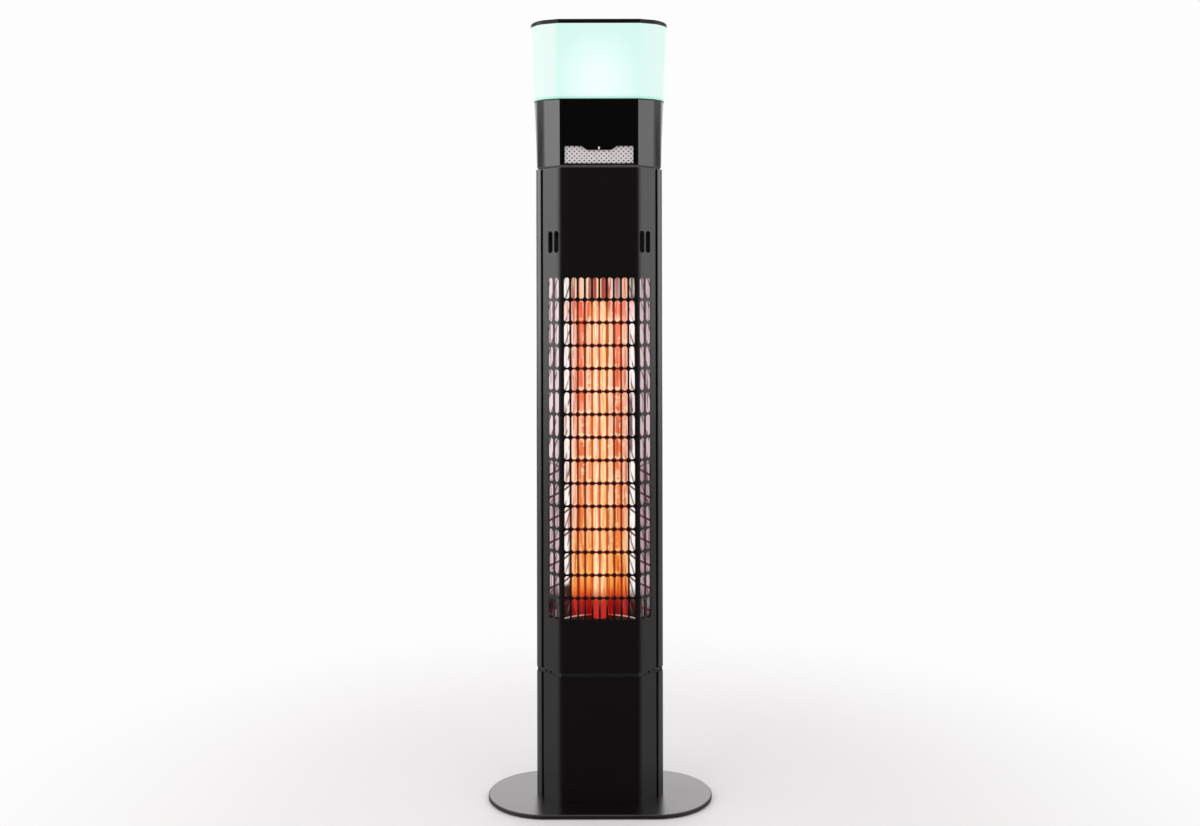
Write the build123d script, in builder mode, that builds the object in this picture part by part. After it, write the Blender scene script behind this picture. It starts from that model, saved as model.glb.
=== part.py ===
from build123d import *
import os
from math import cos, radians, sin, tan

# Infrared patio heater tower: a slim sheet-metal column on a plate foot, a quartz lamp behind a
# slotted guard, and a head with a speaker window and a glowing lamp shade.
# Millimetres, +Z up. The heater faces -Y and stands with its middle over the origin.

os.makedirs("parts", exist_ok=True)

# ------------------------------------------------------------------ base plate
BASE_LENGTH = 318.0
BASE_DEPTH = 168.0
BASE_THICKNESS = 5.0
BASE_EDGE_CHAMFER = 1.2
PAD_DIAMETER = 22.0
PAD_THICKNESS = 1.5
PAD_INSET = 20.0

# ------------------------------------------------------------------ column section
FRONT_FLAT = 110.0
CHAMFER = 25.0
CHAMFER_ANGLE = 45.0
RETURN_FLANGE = 7.0
SHEET = 1.5
BEND_RADIUS = 2.5
RAIL_WEB = 12.0
RAIL_NOSE = 7.0
RAIL_TONGUE = 2.0
TONGUE_REACH = 4.0
GROOVE = 3.0
RAIL_PORT_DIAMETER = 3.6
RAIL_PORT_OFFSET = 2.0

# ------------------------------------------------------------------ heights of the stack
FOOT_HEIGHT = 174.5
COLLAR_HEIGHT = 6.0
BODY_HEIGHT = 708.0
SEAM_GAP = 1.0
HEAD_BEVEL = 2.4
HEAD_HEIGHT = 91.0
LAMP_FLANGE = 1.0
SEAL_THICKNESS = 0.8
SHADE_HEIGHT = 104.6
CAP_HEIGHT = 6.4

# ------------------------------------------------------------------ guard slots and vents
ROW_PITCH = 32.16
SLOT_LENGTH = 29.4
FRONT_COLUMNS = 10
COLUMN_PITCH = 10.15
SLOT_WIDTH = 7.4
CHAMFER_SLOT_EDGE = 7.6
CHAMFER_SLOT_PITCH = 12.2
CHAMFER_SLOT_WIDTH = 9.5
CHAMFER_COLUMNS = 2
GUARD_SILL = 73.9
ELECTRONICS_BAY = 150.0
VENT_HEADROOM = 88.66
VENT_LENGTH = 30.6
BACK_VENT_ROWS = 2
BACK_VENT_COLUMNS = 8

# ------------------------------------------------------------------ reflector and lamp
REFLECTOR_SHEET = 0.8
REFLECTOR_APERTURE = 100.0
REFLECTOR_DEPTH = 23.0
REFLECTOR_GAP = 4.5
REFLECTOR_FLANGE = 6.0
REFLECTOR_SILL = 0.5
REFLECTOR_HEADROOM = 3.0
SHIELD_FLANGE = 8.0
SHIELD_GAP = 1.0
END_PLATE = 1.2
TUBE_DIAMETER = 18.0
TUBE_WALL = 1.3
TUBE_STANDOFF = 5.5
ELEMENT_WIDTH = 9.0
ELEMENT_THICKNESS = 1.2
TUBE_CAP_DIAMETER = 22.0
TUBE_CAP_LENGTH = 18.0
TUBE_CAP_SOCKET = 10.0
HOLDER_WIDTH = 34.0
HOLDER_DEPTH = 27.0
HOLDER_HEIGHT = 26.0

# ------------------------------------------------------------------ inner fits
INNER_FIT = 0.25
SLIDE_FIT = 0.3
SPIGOT_WALL = 3.0
SPIGOT_DEPTH = 12.0
COLLAR_NOTCH = 1.0
COLLAR_VENT_DIAMETER = 3.0
COLLAR_VENT_PITCH = 7.0
COLLAR_VENT_COUNT = 3
MOUNT_PLATE = 3.0
MOUNT_FLANGE_HEIGHT = 22.0
MOUNT_FLANGE_LENGTH = 76.0

# ------------------------------------------------------------------ screws
PANEL_SCREW_SHANK = 3.6
PANEL_SCREW_HEAD = 7.0
PANEL_SCREW_CROWN = 5.0
PANEL_SCREW_HEAD_HEIGHT = 2.2
PANEL_SCREW_SPACING = 80.0
FOOT_SCREW_SPACING = 56.0
BASE_SCREW_SHANK = 5.0
BASE_SCREW_HEAD = 10.0
BASE_SCREW_SPACING_X = 100.0
BASE_SCREW_SPACING_Y = 40.0
COUNTERSINK_ANGLE = 90.0
RAIL_SCREW_LENGTH = 14.0
SCREW_FIT = 0.1

# ------------------------------------------------------------------ foot: switch, gland, inner parts
SWITCH_HEIGHT = 120.0
SWITCH_WIDTH = 22.0
SWITCH_LENGTH = 28.0
SWITCH_DEPTH = 24.0
SWITCH_BEZEL = 2.0
SWITCH_BEZEL_MARGIN = 1.8
ROCKER_WIDTH = 17.0
ROCKER_RADIUS = 11.8
ROCKER_AXLE_DEPTH = 4.0
ROCKER_RISE = 9.0
ROCKER_DISH = 1.2
ROCKER_KEEL = 5.0
ROCKER_TILT = 7.0
AXLE_DIAMETER = 3.0
AXLE_STUB = 1.4
AXLE_FIT = 0.06
GLAND_HEIGHT = 48.0
GLAND_THREAD = 16.0
GLAND_HEX = 20.0
HEX_SIDES = 6
GLAND_HEX_LENGTH = 6.0
GLAND_DOME_LENGTH = 13.0
GLAND_DOME_CHAMFER = 3.5
GLAND_THREAD_LENGTH = 9.5
GLAND_BORE = 8.0
GLAND_NUT_THICKNESS = 4.0
TERMINAL_X = 40.0
TERMINAL_SIZE = (26.0, 18.0, 20.0)
TERMINAL_WAYS = 3
TERMINAL_LEVELS = 2
TERMINAL_RECESS = 6.0
TILT_SWITCH_X = -42.0
TILT_SWITCH_SIZE = (22.0, 20.0, 30.0)
TILT_SWITCH_CORNER = 3.0
TILT_SWITCH_LUG = 36.0
INNER_ROW_Y = 22.0
LOOM_DIAMETER = 7.0

# ------------------------------------------------------------------ control electronics
TRAY_HEADROOM = 27.36
TRAY_HEIGHT = 104.0
BOARD_THICKNESS = 1.6
STANDOFF_HEIGHT = 4.0
STANDOFF_DIAMETER = 5.0
CONTROL_BOARD_WIDTH = 112.0
CONTROL_BOARD_HEIGHT = 84.0
CONNECTOR_SIZE = (18.0, 12.0, 12.0)
RELAY_SIZE = (19.0, 15.0, 15.5)
RELAY_COUNT = 2
RELAY_PITCH = 23.75
RELAY_MIDDLE = -7.125
TRANSFORMER_SIZE = (32.0, 15.0, 26.0)
HEAT_SINK_SIZE = (30.0, 14.0, 34.0)
HEAT_SINK_FINS = 5
HEAT_SINK_BASE = 3.0
CUTOUT_DIAMETER = 16.0
CUTOUT_THICKNESS = 7.0

# ------------------------------------------------------------------ head
HEAD_NOTCH = 1.0
HEAD_WALL = 2.2
HEAD_FLARE_SIDE = 4.0
HEAD_FLARE_FRONT = 4.0
HEAD_FLARE_BOW = 0.38
HEAD_TOP_FLAT = 111.0
HEAD_TOP_SHOULDER_RUN = 20.5
HEAD_TOP_SHOULDER_DROP = 8.0
WINDOW_WIDTH = 99.7
WINDOW_HEIGHT = 24.2
WINDOW_SILL = 2.4
MESH_THICKNESS = 0.8
BAFFLE_THICKNESS = 2.5
SPEAKER_SPACING = 52.0
SPEAKER_DIAMETER = 23.0
SPEAKER_RIM = 1.8
SPEAKER_RIM_THICKNESS = 1.5
SPEAKER_CONE_DEPTH = 8.0
MAGNET_DIAMETER = 15.0
MAGNET_DEPTH = 7.0
POD_TOP_WIDTH = 50.0
POD_FOOT_WIDTH = 34.0
POD_HEIGHT = 5.4
POD_THICKNESS = 2.2
LENS_WIDTH = 2.4
LENS_HEIGHT = 3.6
LENS_PROUD = 0.5
AMPLIFIER_SIZE = (70.0, 1.6, 44.0)
CABLE_WINDOW = (44.0, 24.0)

# ------------------------------------------------------------------ push buttons on the back of the head
BUTTON_COUNT = 4
BUTTON_PITCH = 20.0
BUTTON_DIAMETER = 10.0
BUTTON_COLLAR = 1.4
BUTTON_COLLAR_THICKNESS = 1.4
BUTTON_TRAVEL = 1.2
BUTTON_PROUD = 1.6
BUTTON_EDGE = 0.6
BEZEL_FLANGE = 2.0
BEZEL_PROUD = 1.0
TACT_SIZE = 6.0
TACT_HEIGHT = 3.5
BUTTON_BOARD_MARGIN = 3.0
BUTTON_POST_DIAMETER = 4.0

# ------------------------------------------------------------------ lamp
SHADE_WALL = 2.5
SHADE_FLARE_SIDE = 4.5
SHADE_FLARE_FRONT = 3.0
SHADE_TOP_FLAT = 114.0
SHADE_TOP_SHOULDER_RUN = 22.0
LAMP_SPIGOT = 4.0
LAMP_SPIGOT_WALL = 1.6
LED_BOARD_WIDTH = 120.0
LED_BOARD_DEPTH = 44.0
LED_SIZE = 5.0
LED_THICKNESS = 1.6
LED_COLUMNS = 6
LED_ROWS = 2
LED_PITCH_X = 19.0
LED_PITCH_Y = 22.0
CAP_EDGE_RADIUS = 2.6
CAP_SPIGOT = 6.0

# ------------------------------------------------------------------ derived places
front_half = FRONT_FLAT / 2
panel_half = front_half + CHAMFER
web_half = RAIL_WEB / 2
column_half_depth = web_half + RETURN_FLANGE + CHAMFER
nose_x = panel_half + GROOVE
nose_half = column_half_depth - CHAMFER - GROOVE
column_half_width = nose_x + RAIL_NOSE
tongue_half = web_half + TONGUE_REACH
tongue_x = panel_half - SHEET
rail_inner_x = tongue_x - RAIL_TONGUE
panel_inner_y = column_half_depth - SHEET
port_x = tongue_x + RAIL_PORT_OFFSET + RAIL_PORT_DIAMETER / 2
facet_run = CHAMFER + GROOVE

base_top = PAD_THICKNESS + BASE_THICKNESS
foot_top = base_top + FOOT_HEIGHT
body_bottom = foot_top + COLLAR_HEIGHT
body_top = body_bottom + BODY_HEIGHT
head_bottom = body_top + SEAM_GAP + HEAD_BEVEL
head_top = head_bottom + HEAD_HEIGHT
seal_bottom = head_top + LAMP_FLANGE
shade_bottom = seal_bottom + SEAL_THICKNESS
cap_bottom = shade_bottom + SHADE_HEIGHT

guard_bottom = body_bottom + GUARD_SILL
guard_rows = int((BODY_HEIGHT - GUARD_SILL - ELECTRONICS_BAY) / ROW_PITCH)
guard_height = (guard_rows - 1) * ROW_PITCH + SLOT_LENGTH
guard_top = guard_bottom + guard_height
guard_middle = guard_bottom + guard_height / 2
vent_middle = body_top - VENT_HEADROOM - VENT_LENGTH / 2

reflector_bottom = guard_bottom + REFLECTOR_SILL
reflector_top = guard_top + REFLECTOR_HEADROOM
reflector_edge_y = -(panel_inner_y - REFLECTOR_GAP)
reflector_half = REFLECTOR_APERTURE / 2
wing_end_y = reflector_edge_y + rail_inner_x - reflector_half
tube_y = -(panel_inner_y - TUBE_STANDOFF - TUBE_DIAMETER / 2)
shield_front_y = wing_end_y + REFLECTOR_FLANGE + SHIELD_GAP
shield_back_y = shield_front_y + SHIELD_FLANGE + REFLECTOR_SHEET

head_half_width = column_half_width - HEAD_NOTCH
head_half_depth = column_half_depth - HEAD_NOTCH
head_inner_y = head_half_depth - HEAD_WALL
window_bottom = head_bottom + WINDOW_SILL
window_middle = window_bottom + WINDOW_HEIGHT / 2
mesh_back_y = head_inner_y - MESH_THICKNESS
baffle_back_y = mesh_back_y - BAFFLE_THICKNESS
bezel_back_y = head_inner_y - BEZEL_FLANGE
bezel_face_y = head_half_depth + BEZEL_PROUD
pressed_collar_y = bezel_back_y - SLIDE_FIT - BUTTON_COLLAR_THICKNESS - BUTTON_TRAVEL
button_board_y = pressed_collar_y - SLIDE_FIT - TACT_HEIGHT


# ------------------------------------------------------------------ shared sections
def bent_sheet(points, thickness, radius, side):
    """Closed section of a sheet folded along the points, its thickness on one side of them."""
    with BuildSketch() as section:
        with BuildLine():
            FilletPolyline(*points, radius=radius)
            offset(amount=thickness, side=side)
        make_face()
    return section.sketch


def panel_section():
    """Front panel: flat face, two 45 degree chamfers and the return flanges that meet the rails."""
    shoulder_y = web_half + RETURN_FLANGE
    right = [(front_half, -column_half_depth), (panel_half, -shoulder_y), (panel_half, -web_half)]
    left = [(-x, y) for x, y in reversed(right)]
    return bent_sheet(left + right, SHEET, BEND_RADIUS, Side.LEFT)


def rail_section():
    """Right-hand side rail: round nose, web with a screw port, and the tongue behind the panels."""
    with BuildSketch() as section:
        with BuildLine():
            ThreePointArc((nose_x, -nose_half), (column_half_width, 0), (nose_x, nose_half))
            Polyline(
                (nose_x, nose_half),
                (nose_x, web_half),
                (tongue_x, web_half),
                (tongue_x, tongue_half),
                (rail_inner_x, tongue_half),
                (rail_inner_x, -tongue_half),
                (tongue_x, -tongue_half),
                (tongue_x, -web_half),
                (nose_x, -web_half),
                (nose_x, -nose_half),
            )
        make_face()
        with Locations((port_x, 0)):
            Circle(RAIL_PORT_DIAMETER / 2, mode=Mode.SUBTRACT)
    return section.sketch


def tower_plan(half_width, half_depth, flat, run, drop):
    """Plan of the tower: flat front and back, a facet at each corner and round sides."""
    shoulder_x = flat / 2 + run
    shoulder_y = half_depth - drop
    with BuildSketch() as plan:
        with BuildLine():
            Polyline((-shoulder_x, -shoulder_y), (-flat / 2, -half_depth), (flat / 2, -half_depth),
                     (shoulder_x, -shoulder_y))
            ThreePointArc((shoulder_x, -shoulder_y), (half_width, 0), (shoulder_x, shoulder_y))
            Polyline((shoulder_x, shoulder_y), (flat / 2, half_depth), (-flat / 2, half_depth),
                     (-shoulder_x, shoulder_y))
            ThreePointArc((-shoulder_x, shoulder_y), (-half_width, 0), (-shoulder_x, -shoulder_y))
        make_face()
    return plan.sketch


def liner_plan(inset):
    """Octagon that clears the inside of the panels and the rails by the inset."""
    half_x = rail_inner_x - inset
    half_y = panel_inner_y - inset
    chamfer_sum = front_half + column_half_depth - (SHEET + inset) / cos(radians(CHAMFER_ANGLE))
    with BuildSketch() as plan:
        with BuildLine():
            right = [(chamfer_sum - half_y, -half_y), (half_x, half_x - chamfer_sum),
                     (half_x, chamfer_sum - half_x), (chamfer_sum - half_y, half_y)]
            left = [(-x, -y) for x, y in right]
            Polyline(*right, *left, close=True)
        make_face()
    return plan.sketch


def guard_slot(length, width):
    """Pressed slot, each end cut back in three equal flats close to a half round."""
    with BuildSketch() as slot:
        Rectangle(width, length)
        chamfer(slot.vertices(), width / (2 + 2 * cos(radians(CHAMFER_ANGLE))))
    return slot.sketch


def pan_screw(length):
    """Pan-head screw, its head standing on the XY plane and its shank going down."""
    with BuildPart() as screw:
        Cone(PANEL_SCREW_HEAD / 2, PANEL_SCREW_CROWN / 2, PANEL_SCREW_HEAD_HEIGHT,
             align=(Align.CENTER, Align.CENTER, Align.MIN))
        Cylinder(PANEL_SCREW_SHANK / 2, length, align=(Align.CENTER, Align.CENTER, Align.MAX))
    return screw.part


def countersunk_screw(shank, head, length):
    """Countersunk screw, its head flush with the XY plane and its shank going down."""
    cone_height = (head - shank) / 2 / tan(radians(COUNTERSINK_ANGLE / 2))
    with BuildPart() as screw:
        Cone(shank / 2, head / 2, cone_height, align=(Align.CENTER, Align.CENTER, Align.MAX))
        Cylinder(shank / 2, length, align=(Align.CENTER, Align.CENTER, Align.MAX))
    return screw.part


def on_back(places):
    """Locations on the back face of the column for (x, z) places, facing outward."""
    return [back_face.location * Location((-x, z, 0)) for x, z in places]


def finish(builder, name):
    """Label a finished piece and write it."""
    builder.part.label = name
    export_step(builder.part, f"parts/{name}.step")


column_plan = tower_plan(column_half_width, column_half_depth, FRONT_FLAT, facet_run, facet_run)
head_foot_flat = FRONT_FLAT - 2 * HEAD_NOTCH * tan(radians(CHAMFER_ANGLE / 2))
head_facet_run = facet_run - HEAD_NOTCH / 2
head_foot_plan = (head_half_width, head_half_depth, head_foot_flat, head_facet_run, head_facet_run)
head_top_plan = (head_half_width + HEAD_FLARE_SIDE, head_half_depth + HEAD_FLARE_FRONT, HEAD_TOP_FLAT,
                 HEAD_TOP_SHOULDER_RUN, HEAD_TOP_SHOULDER_DROP)
head_waist_plan = tuple(
    low + (high - low) * HEAD_FLARE_BOW for low, high in zip(head_foot_plan, head_top_plan)
)
# The facets of the shade stay parallel from foot to top, so they are flat
shade_top_drop = SHADE_TOP_SHOULDER_RUN * HEAD_TOP_SHOULDER_DROP / HEAD_TOP_SHOULDER_RUN
shade_top_plan = (head_top_plan[0] + SHADE_FLARE_SIDE, head_top_plan[1] + SHADE_FLARE_FRONT, SHADE_TOP_FLAT,
                  SHADE_TOP_SHOULDER_RUN, shade_top_drop)

# Screw places, used by the holes and by the screws
base_screw_places = [(x, y) for x in (-BASE_SCREW_SPACING_X / 2, BASE_SCREW_SPACING_X / 2)
                     for y in (-BASE_SCREW_SPACING_Y / 2, BASE_SCREW_SPACING_Y / 2)]
rail_screw_places = [(-port_x, 0), (port_x, 0)]
underside = Plane(origin=(0, 0, PAD_THICKNESS), x_dir=(1, 0, 0), z_dir=(0, 0, -1))
foot_screw_low = base_top + MOUNT_PLATE + MOUNT_FLANGE_HEIGHT / 2
foot_screw_high = foot_top - SPIGOT_DEPTH / 2
body_screw_low = body_bottom + SPIGOT_DEPTH / 2
body_screw_high = body_top - SPIGOT_DEPTH / 2
foot_screw_low_places = [(side * FOOT_SCREW_SPACING / 2, foot_screw_low) for side in (-1, 1)]
foot_screw_high_places = [(side * PANEL_SCREW_SPACING / 2, foot_screw_high) for side in (-1, 1)]
foot_screw_places = foot_screw_low_places + foot_screw_high_places
body_screw_low_places = [(side * PANEL_SCREW_SPACING / 2, body_screw_low) for side in (-1, 1)]
body_screw_high_places = [(side * PANEL_SCREW_SPACING / 2, body_screw_high) for side in (-1, 1)]
body_screw_places = body_screw_low_places + body_screw_high_places
panel_screw_length = SHEET + INNER_FIT + SPIGOT_WALL
back_face = Plane(origin=(0, column_half_depth, 0), x_dir=(-1, 0, 0), z_dir=(0, 1, 0))

# ================================================================== base and foot
with BuildPart() as base_plate:
    with BuildSketch(Plane.XY.offset(PAD_THICKNESS)):
        SlotOverall(BASE_LENGTH, BASE_DEPTH)
    extrude(amount=BASE_THICKNESS)
    chamfer(base_plate.edges().group_by(Axis.Z)[-1], BASE_EDGE_CHAMFER)
    with Locations(underside):
        with Locations(*base_screw_places):
            CounterSinkHole(BASE_SCREW_SHANK / 2 + SCREW_FIT, BASE_SCREW_HEAD / 2 + SCREW_FIT,
                            counter_sink_angle=COUNTERSINK_ANGLE)
        with Locations(*rail_screw_places):
            CounterSinkHole(PANEL_SCREW_SHANK / 2 + SCREW_FIT, PANEL_SCREW_HEAD / 2 + SCREW_FIT,
                            counter_sink_angle=COUNTERSINK_ANGLE)
finish(base_plate, "base_plate")

pad_reach_x = BASE_LENGTH / 2 - PAD_INSET
pad_reach_y = BASE_DEPTH / 2 - PAD_INSET
pad_straight_x = (BASE_LENGTH - BASE_DEPTH) / 2
with BuildPart() as rubber_feet:
    with BuildSketch():
        with Locations((-pad_reach_x, 0), (pad_reach_x, 0)):
            Circle(PAD_DIAMETER / 2)
        with GridLocations(2 * pad_straight_x, 2 * pad_reach_y, 2, 2):
            Circle(PAD_DIAMETER / 2)
    extrude(amount=PAD_THICKNESS)
finish(rubber_feet, "rubber_feet")

with BuildPart() as foot_mount_plate:
    with BuildSketch(Plane.XY.offset(base_top)):
        add(liner_plan(INNER_FIT))
    extrude(amount=MOUNT_PLATE)
    with BuildSketch(Plane.XY.offset(base_top + MOUNT_PLATE)):
        with GridLocations(0, 2 * (panel_inner_y - INNER_FIT - MOUNT_PLATE / 2), 1, 2):
            Rectangle(MOUNT_FLANGE_LENGTH, MOUNT_PLATE)
    extrude(amount=MOUNT_FLANGE_HEIGHT)
    with Locations(*[(x, y, base_top + MOUNT_PLATE) for x, y in base_screw_places]):
        Hole(BASE_SCREW_SHANK / 2 + SCREW_FIT, MOUNT_PLATE)
    with Locations(*on_back(foot_screw_low_places)):
        Hole(PANEL_SCREW_SHANK / 2 + SCREW_FIT, 2 * (SHEET + INNER_FIT + MOUNT_PLATE))
finish(foot_mount_plate, "foot_mount_plate")

with BuildPart() as base_screws:
    with Locations(underside):
        with Locations(*base_screw_places):
            add(countersunk_screw(BASE_SCREW_SHANK, BASE_SCREW_HEAD, BASE_THICKNESS + MOUNT_PLATE))
        with Locations(*rail_screw_places):
            add(countersunk_screw(PANEL_SCREW_SHANK - 2 * SCREW_FIT, PANEL_SCREW_HEAD, RAIL_SCREW_LENGTH))
finish(base_screws, "base_screws")

with BuildPart() as foot_front_panel:
    with BuildSketch(Plane.XY.offset(base_top)):
        add(panel_section())
    extrude(amount=FOOT_HEIGHT)
finish(foot_front_panel, "foot_front_panel")

switch_place = back_face.location * Location((0, SWITCH_HEIGHT, 0))
gland_place = back_face.location * Location((0, GLAND_HEIGHT, 0))
with BuildPart() as foot_back_panel:
    with BuildSketch(Plane.XY.offset(base_top)):
        add(panel_section(), rotation=180)
    extrude(amount=FOOT_HEIGHT)
    with BuildSketch(Plane(switch_place)):
        Rectangle(SWITCH_WIDTH + 2 * INNER_FIT, SWITCH_LENGTH + 2 * INNER_FIT)
    extrude(amount=-SHEET, mode=Mode.SUBTRACT)
    with Locations(gland_place):
        Hole(GLAND_THREAD / 2 + INNER_FIT, SHEET)
    with Locations(*on_back(foot_screw_places)):
        Hole(PANEL_SCREW_SHANK / 2 + SCREW_FIT, SHEET)
finish(foot_back_panel, "foot_back_panel")

with BuildPart() as foot_screws:
    with Locations(*on_back(foot_screw_places)):
        add(pan_screw(panel_screw_length))
finish(foot_screws, "foot_screws")

for hand, turn in (("right", 0), ("left", 180)):
    with BuildPart() as foot_rail:
        with BuildSketch(Plane.XY.offset(base_top)):
            add(rail_section(), rotation=turn)
        extrude(amount=FOOT_HEIGHT)
    finish(foot_rail, f"foot_rail_{hand}")

mount_top = base_top + MOUNT_PLATE
with BuildPart() as tilt_switch:
    with BuildSketch(Plane.XY.offset(mount_top)):
        with Locations((TILT_SWITCH_X, INNER_ROW_Y - MOUNT_PLATE)):
            Rectangle(TILT_SWITCH_SIZE[0], TILT_SWITCH_SIZE[1])
    extrude(amount=TILT_SWITCH_SIZE[2])
    chamfer(tilt_switch.edges().filter_by(Axis.Z), TILT_SWITCH_CORNER)
    with BuildSketch(Plane.XY.offset(mount_top)):
        with Locations((TILT_SWITCH_X, INNER_ROW_Y - MOUNT_PLATE)):
            SlotOverall(TILT_SWITCH_LUG, PANEL_SCREW_HEAD)
    extrude(amount=SHEET)
finish(tilt_switch, "tilt_switch")

with BuildPart() as terminal_block:
    with BuildSketch(Plane.XY.offset(mount_top)):
        with Locations((TERMINAL_X, INNER_ROW_Y)):
            Rectangle(TERMINAL_SIZE[0], TERMINAL_SIZE[1])
    extrude(amount=TERMINAL_SIZE[2])
    terminal_front = terminal_block.faces().sort_by(Axis.Y)[0]
    with BuildSketch(terminal_front):
        with GridLocations(TERMINAL_SIZE[0] / TERMINAL_WAYS, TERMINAL_SIZE[2] / TERMINAL_LEVELS,
                           TERMINAL_WAYS, TERMINAL_LEVELS):
            Circle(PANEL_SCREW_SHANK / 2)
    extrude(amount=-TERMINAL_RECESS, mode=Mode.SUBTRACT)
finish(terminal_block, "terminal_block")

with BuildPart() as cable_gland:
    with BuildSketch(Plane(gland_place)):
        RegularPolygon(GLAND_HEX / 2, HEX_SIDES, major_radius=False)
    extrude(amount=GLAND_HEX_LENGTH)
    with BuildSketch(Plane(gland_place).offset(GLAND_HEX_LENGTH)):
        Circle(GLAND_THREAD / 2 + SHEET)
    extrude(amount=GLAND_DOME_LENGTH)
    chamfer(cable_gland.edges().group_by(Axis.Y)[-1], GLAND_DOME_CHAMFER)
    with BuildSketch(Plane(gland_place)):
        Circle(GLAND_THREAD / 2)
    extrude(amount=-GLAND_THREAD_LENGTH)
    with BuildSketch(Plane(gland_place).offset(-GLAND_THREAD_LENGTH)):
        Circle(GLAND_BORE / 2)
    extrude(amount=GLAND_THREAD_LENGTH + GLAND_HEX_LENGTH + GLAND_DOME_LENGTH, mode=Mode.SUBTRACT)
finish(cable_gland, "cable_gland")

with BuildPart() as gland_nut:
    with BuildSketch(Plane(gland_place).offset(-SHEET)):
        RegularPolygon(GLAND_HEX / 2, HEX_SIDES, major_radius=False)
        Circle(GLAND_THREAD / 2 + SCREW_FIT, mode=Mode.SUBTRACT)
    extrude(amount=-GLAND_NUT_THICKNESS)
finish(gland_nut, "gland_nut")

# Rear mains switch: the rocker swings on stub axles inside the moulded housing
axle_place = Plane(origin=(0, column_half_depth + SWITCH_BEZEL - ROCKER_AXLE_DEPTH, SWITCH_HEIGHT),
                   x_dir=(0, 1, 0), z_dir=(1, 0, 0))
cavity_depth = ROCKER_AXLE_DEPTH + ROCKER_KEEL + ROCKER_RADIUS * sin(radians(ROCKER_TILT)) + SLIDE_FIT
with BuildPart() as switch_housing:
    with BuildSketch(Plane(switch_place)):
        RectangleRounded(SWITCH_WIDTH + 2 * SWITCH_BEZEL_MARGIN, SWITCH_LENGTH + 2 * SWITCH_BEZEL_MARGIN,
                         SWITCH_BEZEL_MARGIN)
    extrude(amount=SWITCH_BEZEL)
    with BuildSketch(Plane(switch_place)):
        Rectangle(SWITCH_WIDTH, SWITCH_LENGTH)
    extrude(amount=-SWITCH_DEPTH)
    with BuildSketch(Plane(switch_place).offset(SWITCH_BEZEL)):
        Rectangle(ROCKER_WIDTH + 2 * SLIDE_FIT, 2 * (ROCKER_RADIUS + SLIDE_FIT))
    extrude(amount=-cavity_depth, mode=Mode.SUBTRACT)
    with BuildSketch(axle_place):
        Circle(AXLE_DIAMETER / 2 + AXLE_FIT)
    extrude(amount=ROCKER_WIDTH / 2 + SLIDE_FIT + AXLE_STUB, both=True, mode=Mode.SUBTRACT)
finish(switch_housing, "switch_housing")

with BuildSketch() as rocker_profile:
    Circle(ROCKER_RADIUS)
    with BuildLine():
        Polyline(
            (-ROCKER_KEEL, -ROCKER_RADIUS),
            (-ROCKER_KEEL, ROCKER_RADIUS),
            (ROCKER_RISE, ROCKER_RADIUS),
            (ROCKER_RISE - ROCKER_DISH, 0),
            (ROCKER_RISE, -ROCKER_RADIUS),
            close=True,
        )
    make_face(mode=Mode.INTERSECT)
with BuildPart() as rocker:
    with BuildSketch(axle_place):
        add(rocker_profile.sketch, rotation=-ROCKER_TILT)
    extrude(amount=ROCKER_WIDTH / 2, both=True)
    with BuildSketch(axle_place):
        Circle(AXLE_DIAMETER / 2)
    extrude(amount=ROCKER_WIDTH / 2 + SLIDE_FIT + AXLE_STUB - AXLE_FIT, both=True)
finish(rocker, "rocker")

# ================================================================== joint collar between foot and body
with BuildPart() as joint_collar:
    with BuildSketch(Plane.XY.offset(foot_top)):
        add(column_plan)
        offset(amount=-COLLAR_NOTCH, kind=Kind.INTERSECTION, mode=Mode.REPLACE)
    extrude(amount=COLLAR_HEIGHT)
    with BuildSketch(Plane.XY.offset(foot_top - SPIGOT_DEPTH)):
        add(liner_plan(INNER_FIT))
    extrude(amount=COLLAR_HEIGHT + 2 * SPIGOT_DEPTH)
    with BuildSketch(Plane.XY.offset(foot_top - SPIGOT_DEPTH)):
        add(liner_plan(INNER_FIT + SPIGOT_WALL))
    extrude(amount=COLLAR_HEIGHT + 2 * SPIGOT_DEPTH, mode=Mode.SUBTRACT)
    with BuildSketch(Plane.XZ.offset(-column_half_depth)):
        for side in (-1, 1):
            for step in range(COLLAR_VENT_COUNT):
                vent_x = panel_half + GROOVE - step * COLLAR_VENT_PITCH
                with Locations((side * vent_x, foot_top + COLLAR_HEIGHT / 2)):
                    Circle(COLLAR_VENT_DIAMETER / 2)
    extrude(amount=2 * column_half_depth, mode=Mode.SUBTRACT)
    with Locations(*on_back(foot_screw_high_places + body_screw_low_places)):
        Hole(PANEL_SCREW_SHANK / 2 + SCREW_FIT, panel_screw_length + INNER_FIT)
finish(joint_collar, "joint_collar")

# ================================================================== body: panels and rails
front_face = Plane(origin=(0, -column_half_depth, 0), x_dir=(1, 0, 0), z_dir=(0, -1, 0))


def chamfer_face(side):
    """Plane on the right (1) or left (-1) front chamfer, x measured outward from the front corner."""
    return Plane(origin=(side * front_half, -column_half_depth, 0), x_dir=(1, side, 0), z_dir=(side, -1, 0))


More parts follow.
